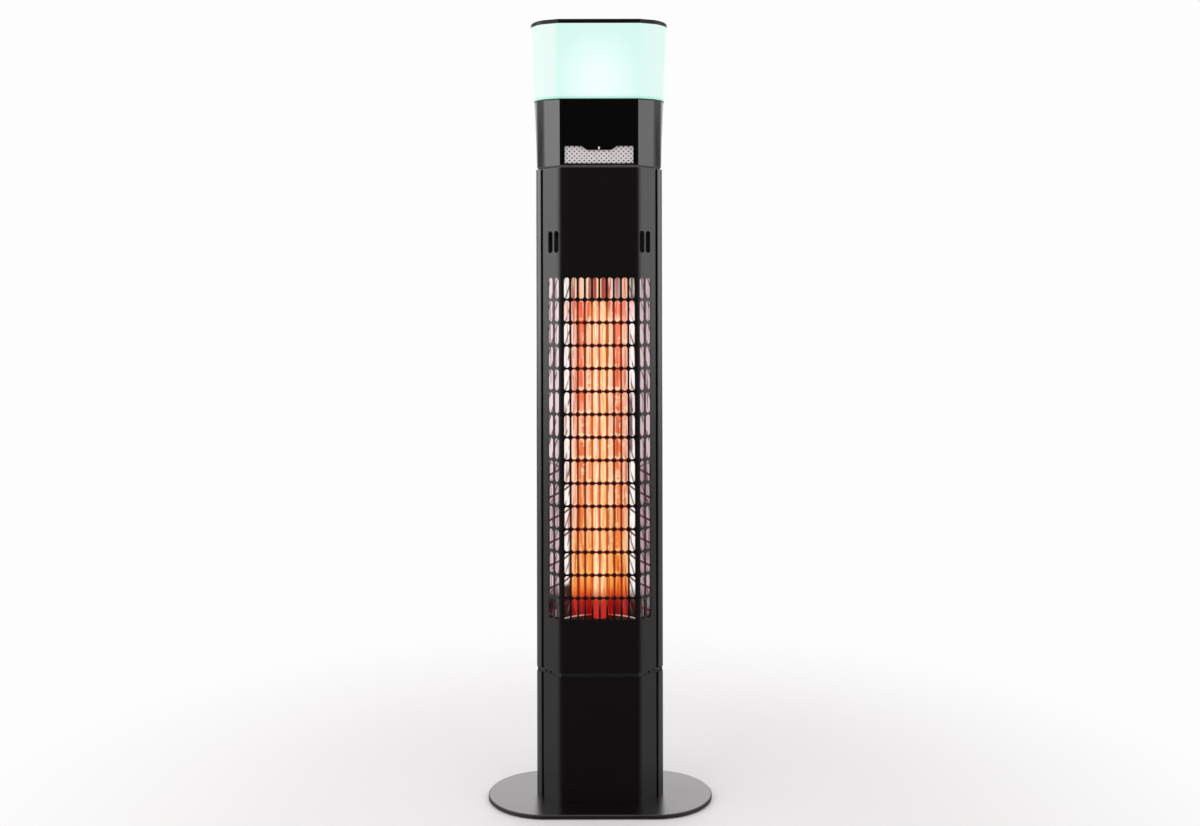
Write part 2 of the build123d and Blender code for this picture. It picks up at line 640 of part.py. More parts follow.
chamfer_middle = CHAMFER_SLOT_EDGE + (CHAMFER_COLUMNS - 1) * CHAMFER_SLOT_PITCH / 2
with BuildPart() as front_panel:
    with BuildSketch(Plane.XY.offset(body_bottom)):
        add(panel_section())
    extrude(amount=BODY_HEIGHT)
    with BuildSketch(front_face):
        with Locations((0, guard_middle)):
            with GridLocations(COLUMN_PITCH, ROW_PITCH, FRONT_COLUMNS, guard_rows):
                add(guard_slot(SLOT_LENGTH, SLOT_WIDTH))
    extrude(amount=-SHEET, mode=Mode.SUBTRACT)
    for side in (-1, 1):
        with BuildSketch(chamfer_face(side)):
            with Locations((side * chamfer_middle, guard_middle)):
                with GridLocations(CHAMFER_SLOT_PITCH, ROW_PITCH, CHAMFER_COLUMNS, guard_rows):
                    add(guard_slot(SLOT_LENGTH, CHAMFER_SLOT_WIDTH))
            with Locations((side * chamfer_middle, vent_middle)):
                with GridLocations(CHAMFER_SLOT_PITCH, 0, CHAMFER_COLUMNS, 1):
                    add(guard_slot(VENT_LENGTH, CHAMFER_SLOT_WIDTH))
        extrude(amount=-SHEET, mode=Mode.SUBTRACT)
finish(front_panel, "front_panel")

with BuildPart() as back_panel:
    with BuildSketch(Plane.XY.offset(body_bottom)):
        add(panel_section(), rotation=180)
    extrude(amount=BODY_HEIGHT)
    with BuildSketch(back_face):
        with Locations((0, vent_middle), (0, guard_bottom + BACK_VENT_ROWS * ROW_PITCH / 2)):
            with GridLocations(COLUMN_PITCH, ROW_PITCH, BACK_VENT_COLUMNS, BACK_VENT_ROWS):
                add(guard_slot(SLOT_LENGTH, SLOT_WIDTH))
    extrude(amount=-SHEET, mode=Mode.SUBTRACT)
    with Locations(*on_back(body_screw_places)):
        Hole(PANEL_SCREW_SHANK / 2 + SCREW_FIT, SHEET)
finish(back_panel, "back_panel")

with BuildPart() as body_screws:
    with Locations(*on_back(body_screw_places)):
        add(pan_screw(panel_screw_length))
finish(body_screws, "body_screws")

for hand, turn in (("right", 0), ("left", 180)):
    with BuildPart() as rail:
        with BuildSketch(Plane.XY.offset(body_bottom)):
            add(rail_section(), rotation=turn)
        extrude(amount=BODY_HEIGHT)
    finish(rail, f"rail_{hand}")

# ================================================================== reflector, lamp and heat shield
with BuildPart() as reflector:
    with BuildSketch(Plane.XY.offset(reflector_bottom)):
        with BuildLine():
            Polyline((-rail_inner_x, wing_end_y + REFLECTOR_FLANGE), (-rail_inner_x, wing_end_y),
                     (-reflector_half, reflector_edge_y))
            ThreePointArc((-reflector_half, reflector_edge_y), (0, reflector_edge_y + REFLECTOR_DEPTH),
                          (reflector_half, reflector_edge_y))
            Polyline((reflector_half, reflector_edge_y), (rail_inner_x, wing_end_y),
                     (rail_inner_x, wing_end_y + REFLECTOR_FLANGE))
            offset(amount=REFLECTOR_SHEET, side=Side.LEFT)
        make_face()
    extrude(amount=reflector_top - reflector_bottom)
finish(reflector, "reflector")

shield_points = [(-rail_inner_x, shield_front_y), (-rail_inner_x, shield_back_y),
                 (rail_inner_x, shield_back_y), (rail_inner_x, shield_front_y)]
with BuildPart() as heat_shield:
    with BuildSketch(Plane.XY.offset(reflector_bottom)):
        add(bent_sheet(shield_points, REFLECTOR_SHEET, 2 * REFLECTOR_SHEET, Side.RIGHT))
    extrude(amount=reflector_top - reflector_bottom)
finish(heat_shield, "heat_shield")

holder_bore = TUBE_CAP_DIAMETER + 2 * INNER_FIT
holder_socket = TUBE_CAP_LENGTH + END_PLATE
lamp_ends = (("bottom", reflector_bottom, -1), ("top", reflector_top, 1))
for end, seat, up in lamp_ends:
    with BuildPart() as end_plate:
        with BuildSketch(Plane.XY.offset(seat)):
            add(liner_plan(INNER_FIT))
            with Locations((0, shield_back_y)):
                Rectangle(2 * panel_half, panel_half, align=(Align.CENTER, Align.MIN), mode=Mode.SUBTRACT)
            with Locations((0, tube_y)):
                Circle(TUBE_DIAMETER / 2 + 2 * SLIDE_FIT, mode=Mode.SUBTRACT)
        extrude(amount=up * END_PLATE)
    finish(end_plate, f"reflector_end_{end}")

    holder_seat = seat + up * END_PLATE
    with BuildPart() as lamp_holder:
        with BuildSketch(Plane.XY.offset(holder_seat)):
            with Locations((0, tube_y)):
                RectangleRounded(HOLDER_WIDTH, HOLDER_DEPTH, SPIGOT_WALL)
        extrude(amount=up * HOLDER_HEIGHT)
        with BuildSketch(Plane.XY.offset(holder_seat)):
            with Locations((0, tube_y)):
                Circle(holder_bore / 2)
        extrude(amount=up * holder_socket, mode=Mode.SUBTRACT)
    finish(lamp_holder, f"lamp_holder_{end}")

    cap_seat = holder_seat + up * holder_socket
    with BuildPart() as tube_cap:
        with BuildSketch(Plane.XY.offset(cap_seat)):
            with Locations((0, tube_y)):
                Circle(TUBE_CAP_DIAMETER / 2)
        extrude(amount=-up * TUBE_CAP_LENGTH)
        with BuildSketch(Plane.XY.offset(cap_seat - up * TUBE_CAP_LENGTH)):
            with Locations((0, tube_y)):
                Circle(TUBE_DIAMETER / 2 + SCREW_FIT)
        extrude(amount=up * TUBE_CAP_SOCKET, mode=Mode.SUBTRACT)
    finish(tube_cap, f"tube_cap_{end}")

tube_overrun = END_PLATE + holder_socket - TUBE_CAP_LENGTH + TUBE_CAP_SOCKET
tube_bottom = reflector_bottom - tube_overrun
tube_length = reflector_top - reflector_bottom + 2 * tube_overrun
with BuildPart() as quartz_tube:
    with BuildSketch(Plane.XY.offset(tube_bottom)):
        with Locations((0, tube_y)):
            Circle(TUBE_DIAMETER / 2)
            Circle(TUBE_DIAMETER / 2 - TUBE_WALL, mode=Mode.SUBTRACT)
    extrude(amount=tube_length)
finish(quartz_tube, "quartz_tube")

with BuildPart() as heating_element:
    with BuildSketch(Plane.XY.offset(tube_bottom)):
        with Locations((0, tube_y)):
            Rectangle(ELEMENT_WIDTH, ELEMENT_THICKNESS)
    extrude(amount=tube_length)
finish(heating_element, "heating_element")

with BuildPart() as thermal_cutout:
    with BuildSketch(Plane.XZ.offset(-shield_back_y)):
        with Locations((0, guard_top - ROW_PITCH)):
            Circle(CUTOUT_DIAMETER / 2)
    extrude(amount=-CUTOUT_THICKNESS)
    chamfer(thermal_cutout.edges().group_by(Axis.Y)[-1], SHEET)
finish(thermal_cutout, "thermal_cutout")

# ================================================================== control electronics behind the vents
tray_bottom = body_top - TRAY_HEADROOM - TRAY_HEIGHT
tray_middle = tray_bottom + TRAY_HEIGHT / 2
board_y = shield_back_y + STANDOFF_HEIGHT
board_back_y = board_y + BOARD_THICKNESS
standoff_x = CONTROL_BOARD_WIDTH - 2 * STANDOFF_DIAMETER
standoff_z = CONTROL_BOARD_HEIGHT - 2 * STANDOFF_DIAMETER
tray_back = Plane(origin=(0, shield_back_y, tray_middle), x_dir=(-1, 0, 0), z_dir=(0, 1, 0))
with BuildPart() as control_tray:
    with BuildSketch(Plane.XY.offset(tray_bottom)):
        add(bent_sheet(shield_points, REFLECTOR_SHEET, 2 * REFLECTOR_SHEET, Side.RIGHT))
    extrude(amount=TRAY_HEIGHT)
    with BuildSketch(tray_back):
        with GridLocations(standoff_x, standoff_z, 2, 2):
            Circle(STANDOFF_DIAMETER / 2)
    extrude(amount=STANDOFF_HEIGHT)
finish(control_tray, "control_tray")

with BuildPart() as control_board:
    with BuildSketch(tray_back.offset(STANDOFF_HEIGHT)):
        Rectangle(CONTROL_BOARD_WIDTH, CONTROL_BOARD_HEIGHT)
    extrude(amount=BOARD_THICKNESS)
finish(control_board, "control_board")

board_bottom = tray_middle - CONTROL_BOARD_HEIGHT / 2
board_face = Plane(origin=(0, board_back_y, board_bottom), x_dir=(-1, 0, 0), z_dir=(0, 1, 0))
with BuildPart() as board_connector:
    with BuildSketch(board_face):
        with Locations((-TERMINAL_X, CONNECTOR_SIZE[2] / 2)):
            Rectangle(CONNECTOR_SIZE[0], CONNECTOR_SIZE[2])
    extrude(amount=CONNECTOR_SIZE[1])
finish(board_connector, "board_connector")

with BuildPart() as board_components:
    with BuildSketch(board_face):
        with Locations((RELAY_MIDDLE, CONTROL_BOARD_HEIGHT / 2)):
            with GridLocations(RELAY_PITCH, 0, RELAY_COUNT, 1):
                Rectangle(RELAY_SIZE[0], RELAY_SIZE[2])
    extrude(amount=RELAY_SIZE[1])
    with BuildSketch(board_face):
        with Locations((TRANSFORMER_SIZE[0], TRANSFORMER_SIZE[2])):
            Rectangle(TRANSFORMER_SIZE[0], TRANSFORMER_SIZE[2])
    extrude(amount=TRANSFORMER_SIZE[1])
finish(board_components, "board_components")

fin_pitch = HEAT_SINK_SIZE[0] / (HEAT_SINK_FINS - 1)
with BuildPart() as heat_sink:
    with BuildSketch(board_face):
        with Locations((0, CONTROL_BOARD_HEIGHT - HEAT_SINK_SIZE[2] / 2)):
            Rectangle(HEAT_SINK_SIZE[0] + SHEET, HEAT_SINK_SIZE[2] / 2)
    extrude(amount=HEAT_SINK_BASE)
    with BuildSketch(board_face.offset(HEAT_SINK_BASE)):
        with Locations((0, CONTROL_BOARD_HEIGHT - HEAT_SINK_SIZE[2] / 2)):
            with GridLocations(fin_pitch, 0, HEAT_SINK_FINS, 1):
                Rectangle(SHEET, HEAT_SINK_SIZE[2] / 2)
    extrude(amount=HEAT_SINK_SIZE[1])
finish(heat_sink, "heat_sink")

loom_bottom = mount_top + TERMINAL_SIZE[2]
with BuildPart() as wiring_loom:
    with BuildSketch(Plane.XY.offset(loom_bottom)):
        with Locations((TERMINAL_X, board_back_y + CONNECTOR_SIZE[1] / 2)):
            Circle(LOOM_DIAMETER / 2)
    extrude(amount=board_bottom - loom_bottom)
finish(wiring_loom, "wiring_loom")

# ================================================================== head
with BuildPart() as head_base:
    with BuildSketch(Plane.XY.offset(body_top)):
        add(tower_plan(*head_foot_plan))
        offset(amount=-HEAD_BEVEL, kind=Kind.INTERSECTION, mode=Mode.REPLACE)
    extrude(amount=SEAM_GAP)
    with BuildSketch(Plane.XY.offset(body_top + SEAM_GAP)):
        add(tower_plan(*head_foot_plan))
        offset(amount=-HEAD_BEVEL, kind=Kind.INTERSECTION, mode=Mode.REPLACE)
    with BuildSketch(Plane.XY.offset(head_bottom)):
        add(tower_plan(*head_foot_plan))
    loft(ruled=True)
    with BuildSketch(Plane.XY.offset(body_top - SPIGOT_DEPTH)):
        add(liner_plan(INNER_FIT))
    extrude(amount=SPIGOT_DEPTH)
    with BuildSketch(Plane.XY.offset(body_top - SPIGOT_DEPTH)):
        add(liner_plan(INNER_FIT + SPIGOT_WALL))
    extrude(amount=SPIGOT_DEPTH, mode=Mode.SUBTRACT)
    with BuildSketch(Plane.XY.offset(body_top)):
        Rectangle(*CABLE_WINDOW)
    extrude(amount=SEAM_GAP + HEAD_BEVEL, mode=Mode.SUBTRACT)
    with Locations(*on_back(body_screw_high_places)):
        Hole(PANEL_SCREW_SHANK / 2 + SCREW_FIT, panel_screw_length + INNER_FIT)
finish(head_base, "head_base")

head_sections = ((head_bottom, head_foot_plan), (head_bottom + HEAD_HEIGHT / 2, head_waist_plan),
                 (head_top, head_top_plan))
with BuildPart() as head_shell:
    for height, plan in head_sections:
        with BuildSketch(Plane.XY.offset(height)):
            add(tower_plan(*plan))
    loft()
    for height, plan in head_sections:
        with BuildSketch(Plane.XY.offset(height)):
            add(tower_plan(*plan))
            offset(amount=-HEAD_WALL, kind=Kind.INTERSECTION, mode=Mode.REPLACE)
    loft(mode=Mode.SUBTRACT)
    with BuildSketch(Plane.XZ):
        with Locations((0, window_middle)):
            Rectangle(WINDOW_WIDTH, WINDOW_HEIGHT)
    extrude(amount=head_top_plan[1], both=True, mode=Mode.SUBTRACT)
finish(head_shell, "head_shell")

front_window = Plane(origin=(0, -head_inner_y, window_middle), x_dir=(1, 0, 0), z_dir=(0, -1, 0))
lip_width = WINDOW_WIDTH + 2 * WINDOW_SILL
lip_height = WINDOW_HEIGHT + 2 * WINDOW_SILL
with BuildPart() as speaker_mesh:
    with BuildSketch(front_window):
        RectangleRounded(lip_width, lip_height, SHEET)
    extrude(amount=-MESH_THICKNESS)
finish(speaker_mesh, "speaker_mesh")

with BuildPart() as speaker_baffle:
    with BuildSketch(front_window.offset(-MESH_THICKNESS)):
        RectangleRounded(lip_width, lip_height, SHEET)
        with GridLocations(SPEAKER_SPACING, 0, 2, 1):
            Circle(SPEAKER_DIAMETER / 2, mode=Mode.SUBTRACT)
    extrude(amount=-BAFFLE_THICKNESS)
finish(speaker_baffle, "speaker_baffle")

for hand, side in (("left", -1), ("right", 1)):
    speaker_seat = (side * SPEAKER_SPACING / 2, -baffle_back_y, window_middle)
    with BuildPart() as speaker:
        with BuildSketch(Plane(origin=speaker_seat, x_dir=(1, 0, 0), z_dir=(0, 0, 1))):
            with BuildLine():
                Polyline(
                    (0, 0),
                    (SPEAKER_DIAMETER / 2 + SPEAKER_RIM, 0),
                    (SPEAKER_DIAMETER / 2 + SPEAKER_RIM, SPEAKER_RIM_THICKNESS),
                    (SPEAKER_DIAMETER / 2, SPEAKER_RIM_THICKNESS),
                    (MAGNET_DIAMETER / 2, SPEAKER_CONE_DEPTH),
                    (MAGNET_DIAMETER / 2, SPEAKER_CONE_DEPTH + MAGNET_DEPTH),
                    (0, SPEAKER_CONE_DEPTH + MAGNET_DEPTH),
                    close=True,
                )
            make_face()
        revolve(axis=Axis(speaker_seat, (0, 1, 0)))
    finish(speaker, f"speaker_{hand}")

pod_place = Plane(origin=(0, -head_inner_y, window_bottom + WINDOW_HEIGHT), x_dir=(1, 0, 0), z_dir=(0, -1, 0))
with BuildPart() as receiver_pod:
    with BuildSketch(pod_place):
        with BuildLine():
            Polyline((-POD_TOP_WIDTH / 2, 0), (-POD_FOOT_WIDTH / 2, -POD_HEIGHT),
                     (POD_FOOT_WIDTH / 2, -POD_HEIGHT), (POD_TOP_WIDTH / 2, 0), close=True)
        make_face()
        with Locations((0, -POD_HEIGHT / 2)):
            Rectangle(LENS_WIDTH + 2 * SCREW_FIT, LENS_HEIGHT + 2 * SCREW_FIT, mode=Mode.SUBTRACT)
    extrude(amount=POD_THICKNESS)
finish(receiver_pod, "receiver_pod")

with BuildPart() as receiver_lens:
    with BuildSketch(pod_place):
        with Locations((0, -POD_HEIGHT / 2)):
            Rectangle(LENS_WIDTH, LENS_HEIGHT)
    extrude(amount=POD_THICKNESS + LENS_PROUD)
finish(receiver_lens, "receiver_lens")

with BuildPart() as amplifier_board:
    with BuildSketch(Plane.XY.offset(head_bottom)):
        with Locations((0, CABLE_WINDOW[1] / 2 + AMPLIFIER_SIZE[1])):
            Rectangle(AMPLIFIER_SIZE[0], AMPLIFIER_SIZE[1])
    extrude(amount=AMPLIFIER_SIZE[2])
finish(amplifier_board, "amplifier_board")

# ================================================================== push buttons on the back of the head
rear_window = Plane(origin=(0, head_inner_y, window_middle), x_dir=(-1, 0, 0), z_dir=(0, 1, 0))
button_board_width = WINDOW_WIDTH - 2 * BUTTON_BOARD_MARGIN
button_board_height = WINDOW_HEIGHT - BUTTON_BOARD_MARGIN
with BuildPart() as button_bezel:
    with BuildSketch(rear_window):
        RectangleRounded(lip_width, lip_height, SHEET)
    extrude(amount=-BEZEL_FLANGE)
    with BuildSketch(rear_window):
        Rectangle(WINDOW_WIDTH - 2 * INNER_FIT, WINDOW_HEIGHT - 2 * INNER_FIT)
    extrude(amount=bezel_face_y - head_inner_y)
    with BuildSketch(rear_window.offset(bezel_face_y - head_inner_y)):
        with GridLocations(BUTTON_PITCH, 0, BUTTON_COUNT, 1):
            Circle(BUTTON_DIAMETER / 2 + SLIDE_FIT)
    extrude(amount=-(bezel_face_y - bezel_back_y), mode=Mode.SUBTRACT)
    with BuildSketch(rear_window.offset(-BEZEL_FLANGE)):
        with GridLocations(button_board_width - BUTTON_POST_DIAMETER, 0, 2, 1):
            Circle(BUTTON_POST_DIAMETER / 2)
    extrude(amount=-(bezel_back_y - button_board_y))
finish(button_bezel, "button_bezel")

for number in range(BUTTON_COUNT):
    button_x = (number - (BUTTON_COUNT - 1) / 2) * BUTTON_PITCH
    collar_face = Plane(origin=(button_x, bezel_back_y - SLIDE_FIT, window_middle), x_dir=(-1, 0, 0),
                        z_dir=(0, 1, 0))
    with BuildPart() as button:
        with BuildSketch(collar_face):
            Circle(BUTTON_DIAMETER / 2 + BUTTON_COLLAR)
        extrude(amount=-BUTTON_COLLAR_THICKNESS)
        with BuildSketch(collar_face):
            Circle(BUTTON_DIAMETER / 2)
        extrude(amount=bezel_face_y + BUTTON_PROUD - bezel_back_y + SLIDE_FIT)
        chamfer(button.edges().group_by(Axis.Y)[-1], BUTTON_EDGE)
    finish(button, f"button_{number + 1}")

button_board_face = Plane(origin=(0, button_board_y, window_middle), x_dir=(-1, 0, 0), z_dir=(0, 1, 0))
with BuildPart() as button_board:
    with BuildSketch(button_board_face):
        Rectangle(button_board_width, button_board_height)
    extrude(amount=-BOARD_THICKNESS)
    with BuildSketch(button_board_face):
        with GridLocations(BUTTON_PITCH, 0, BUTTON_COUNT, 1):
            Rectangle(TACT_SIZE, TACT_SIZE)
    extrude(amount=TACT_HEIGHT)
finish(button_board, "button_board")

# ================================================================== lamp
with BuildPart() as lamp_tray:
    with BuildSketch(Plane.XY.offset(head_top)):
        add(tower_plan(*head_top_plan))
    extrude(amount=LAMP_FLANGE)
    with BuildSketch(Plane.XY.offset(seal_bottom)):
        add(tower_plan(*head_top_plan))
        offset(amount=-(SHADE_WALL + INNER_FIT), kind=Kind.INTERSECTION, mode=Mode.REPLACE)
        offset(amount=-LAMP_SPIGOT_WALL, kind=Kind.INTERSECTION, mode=Mode.SUBTRACT)
    extrude(amount=LAMP_SPIGOT)
finish(lamp_tray, "lamp_tray")

with BuildPart() as shade_seal:
    with BuildSketch(Plane.XY.offset(seal_bottom)):
        add(tower_plan(*head_top_plan))
        offset(amount=-SHADE_WALL, kind=Kind.INTERSECTION, mode=Mode.SUBTRACT)
    extrude(amount=SEAL_THICKNESS)
finish(shade_seal, "shade_seal")

led_seat = seal_bottom + BOARD_THICKNESS
with BuildPart() as led_board:
    with BuildSketch(Plane.XY.offset(seal_bottom)):
        SlotOverall(LED_BOARD_WIDTH, LED_BOARD_DEPTH)
    extrude(amount=BOARD_THICKNESS)
finish(led_board, "led_board")

with BuildPart() as leds:
    with BuildSketch(Plane.XY.offset(led_seat)):
        with GridLocations(LED_PITCH_X, LED_PITCH_Y, LED_COLUMNS, LED_ROWS):
            Rectangle(LED_SIZE, LED_SIZE)
    extrude(amount=LED_THICKNESS)
finish(leds, "leds")

with BuildPart() as lamp_shade:
    for height, plan in ((shade_bottom, head_top_plan), (cap_bottom, shade_top_plan)):
        with BuildSketch(Plane.XY.offset(height)):
            add(tower_plan(*plan))
    loft(ruled=True)
    for height, plan in ((shade_bottom, head_top_plan), (cap_bottom, shade_top_plan)):
        with BuildSketch(Plane.XY.offset(height)):
            add(tower_plan(*plan))
            offset(amount=-SHADE_WALL, kind=Kind.INTERSECTION, mode=Mode.REPLACE)
    loft(ruled=True, mode=Mode.SUBTRACT)
finish(lamp_shade, "lamp_shade")

with BuildPart() as top_cap:
    with BuildSketch(Plane.XY.offset(cap_bottom)):
        add(tower_plan(*shade_top_plan))
    extrude(amount=CAP_HEIGHT)
    fillet(top_cap.edges().group_by(Axis.Z)[-1], CAP_EDGE_RADIUS)
    with BuildSketch(Plane.XY.offset(cap_bottom)):
        add(tower_plan(*shade_top_plan))
        offset(amount=-(SHADE_WALL + SHADE_FLARE_SIDE / SHADE_HEIGHT * CAP_SPIGOT + INNER_FIT),
               kind=Kind.INTERSECTION, mode=Mode.REPLACE)
        offset(amount=-LAMP_SPIGOT_WALL, kind=Kind.INTERSECTION, mode=Mode.SUBTRACT)
    extrude(amount=-CAP_SPIGOT)
finish(top_cap, "top_cap")
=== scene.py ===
from math import pi, radians

import bpy
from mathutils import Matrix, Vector


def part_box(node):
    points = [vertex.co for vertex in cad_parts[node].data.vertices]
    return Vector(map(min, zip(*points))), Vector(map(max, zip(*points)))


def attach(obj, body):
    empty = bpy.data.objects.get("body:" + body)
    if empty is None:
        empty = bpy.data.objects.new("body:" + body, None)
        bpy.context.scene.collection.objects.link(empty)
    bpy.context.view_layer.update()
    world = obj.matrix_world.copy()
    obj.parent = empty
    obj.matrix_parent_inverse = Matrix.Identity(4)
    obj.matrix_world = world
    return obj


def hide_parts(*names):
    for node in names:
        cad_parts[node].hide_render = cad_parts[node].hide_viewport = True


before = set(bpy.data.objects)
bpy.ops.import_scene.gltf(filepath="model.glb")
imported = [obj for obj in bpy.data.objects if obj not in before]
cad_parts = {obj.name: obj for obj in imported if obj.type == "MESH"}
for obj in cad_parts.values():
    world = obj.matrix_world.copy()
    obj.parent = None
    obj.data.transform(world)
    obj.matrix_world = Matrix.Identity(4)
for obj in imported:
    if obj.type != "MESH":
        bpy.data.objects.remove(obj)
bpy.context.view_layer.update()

# ---------------------------------------------------------------------- base plate and rubber feet
# The base is a 5 mm steel plate with rounded ends, shot-blasted and powder coated satin black.
# Six thin rubber discs are stuck under it. Countersunk screws from below hold the column's
# zinc-plated mounting plate and its rails.


def settle(node, values):
    """Set inputs of a node by their names."""
    for socket, value in values.items():
        node.inputs[socket].default_value = value


def blank(name, values):
    """New material, its node tree and its shader, with some of the shader's inputs set."""
    material = bpy.data.materials.new(name)
    material.use_nodes = True
    tree = material.node_tree
    shader = tree.nodes["Principled BSDF"]
    settle(shader, values)
    return material, tree, shader


def place_on(tree):
    """Object coordinates as one vector."""
    return tree.nodes.new("ShaderNodeTexCoord").outputs["Object"]


def axes(tree):
    """Object coordinates as three separate outputs, x and y from the heater's middle, z from the floor."""
    split = tree.nodes.new("ShaderNodeSeparateXYZ")
    tree.links.new(place_on(tree), split.inputs["Vector"])
    return split.outputs["X"], split.outputs["Y"], split.outputs["Z"]


def noise(tree, size, detail, stretch=(1, 1, 1)):
    """Noise with cells of a size in metres, drawn out along an axis where the stretch is under one."""
    stretching = tree.nodes.new("ShaderNodeMapping")
    stretching.inputs["Scale"].default_value = stretch
    tree.links.new(place_on(tree), stretching.inputs["Vector"])
    cells = tree.nodes.new("ShaderNodeTexNoise")
    settle(cells, {"Scale": 1 / size, "Detail": detail})
    tree.links.new(stretching.outputs["Vector"], cells.inputs["Vector"])
    return cells.outputs["Fac"]


def mixed(tree, factor, first, second, blend="MIX"):
    """Two colours mixed by a factor. Each of the three is a value or another node's output."""
    node = tree.nodes.new("ShaderNodeMix")
    node.data_type = "RGBA"
    node.blend_type = blend
    for socket, value in ((0, factor), (6, first), (7, second)):
        if isinstance(value, tuple):
            node.inputs[socket].default_value = (*value, 1)
        elif isinstance(value, (int, float)):
            node.inputs[socket].default_value = value
        else:
            tree.links.new(value, node.inputs[socket])
    return node.outputs[2]


def sums(tree, operation, first, second=0.0, third=0.0):
    """One arithmetic node over values or other nodes' outputs."""
    node = tree.nodes.new("ShaderNodeMath")
    node.operation = operation
    for index, value in enumerate((first, second, third)):
        if isinstance(value, (int, float)):
            node.inputs[index].default_value = value
        else:
            tree.links.new(value, node.inputs[index])
    return node.outputs[0]


def rise(tree, value, start, end):
    """Smooth step from 0 to 1 between two places."""
    node = tree.nodes.new("ShaderNodeMapRange")
    node.interpolation_type = "SMOOTHSTEP"
    settle(node, {"From Min": start, "From Max": end})
    tree.links.new(value, node.inputs["Value"])
    return node.outputs["Result"]


def fall(tree, value, start, end):
    """Smooth step from 1 to 0 between two places."""
    return sums(tree, "SUBTRACT", 1.0, rise(tree, value, start, end))


def surface(name, dark, light, grain, rough, relief, metallic=0.0, ior=1.5, stretch=(1, 1, 1)):
    """Coat, metal or moulding. Its tone and height vary over a grain in metres, its gloss over patches."""
    patch_size, patch_detail, grain_detail = 1 / 14, 5, 3
    material, tree, shader = blank(name, {"Metallic": metallic, "IOR": ior})
    patches = noise(tree, patch_size, patch_detail, stretch)
    speckle = noise(tree, grain, grain_detail, stretch)
    gloss = tree.nodes.new("ShaderNodeMapRange")
    settle(gloss, {"To Min": rough[0], "To Max": rough[1]})
    height = tree.nodes.new("ShaderNodeBump")
    settle(height, {"Strength": relief, "Distance": grain})
    tree.links.new(patches, gloss.inputs["Value"])
    tree.links.new(speckle, height.inputs["Height"])
    tree.links.new(mixed(tree, speckle, dark, light), shader.inputs["Base Color"])
    tree.links.new(gloss.outputs["Result"], shader.inputs["Roughness"])
    tree.links.new(height.outputs["Normal"], shader.inputs["Normal"])
    return material


def dress(material, *names):
    """Give nodes of the solids their finish."""
    for name in names:
        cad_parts[name].material_slots[0].material = material


# The cut edge of the plate is duller than its top.
base_coat = surface("base_coat", (0.0015, 0.0009, 0.001), (0.003, 0.002, 0.002), 0.0004, (0.27, 0.31), 0.05,
                    ior=1.8)
rim_top, rim_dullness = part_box("base_plate")[1].z, 0.3
tree = base_coat.node_tree
_, _, z = axes(tree)
base_shader = tree.nodes["Principled BSDF"]
base_shader.inputs["Specular Tint"].default_value = (1.0, 0.92, 0.95, 1)
plate_gloss = base_shader.inputs["Roughness"].links[0].from_socket
rim = fall(tree, z, rim_top - 0.0003, rim_top - 0.0001)
tree.links.new(sums(tree, "MULTIPLY_ADD", rim, rim_dullness, plate_gloss), base_shader.inputs["Roughness"])
dress(base_coat, "base_plate")

foot_rubber = surface("foot_rubber", (0.012, 0.012, 0.012), (0.03, 0.03, 0.03), 0.0006, (0.7, 0.9), 0.3)
dress(foot_rubber, "rubber_feet")

zinc = surface("zinc_steel", (0.5, 0.5, 0.49), (0.68, 0.68, 0.66), 0.004, (0.28, 0.42), 0.05, metallic=1.0)
dress(zinc, "foot_mount_plate")

screw_steel = surface("screw_steel", (0.2, 0.2, 0.2), (0.34, 0.34, 0.33), 0.0008, (0.25, 0.4), 0.1,
                      metallic=1.0)
dress(screw_steel, "base_screws")

# ---------------------------------------------------------------------- foot of the column
# Two folded sheet-steel shells and two extruded aluminium side rails stand on the base plate, all
# coated satin black. The rails show fine lines of extrusion. Pan-head screws at the back hold the shells.


def product(tree, first, *others):
    """Product of values and outputs."""
    for other in others:
        first = sums(tree, "MULTIPLY", first, other)
    return first


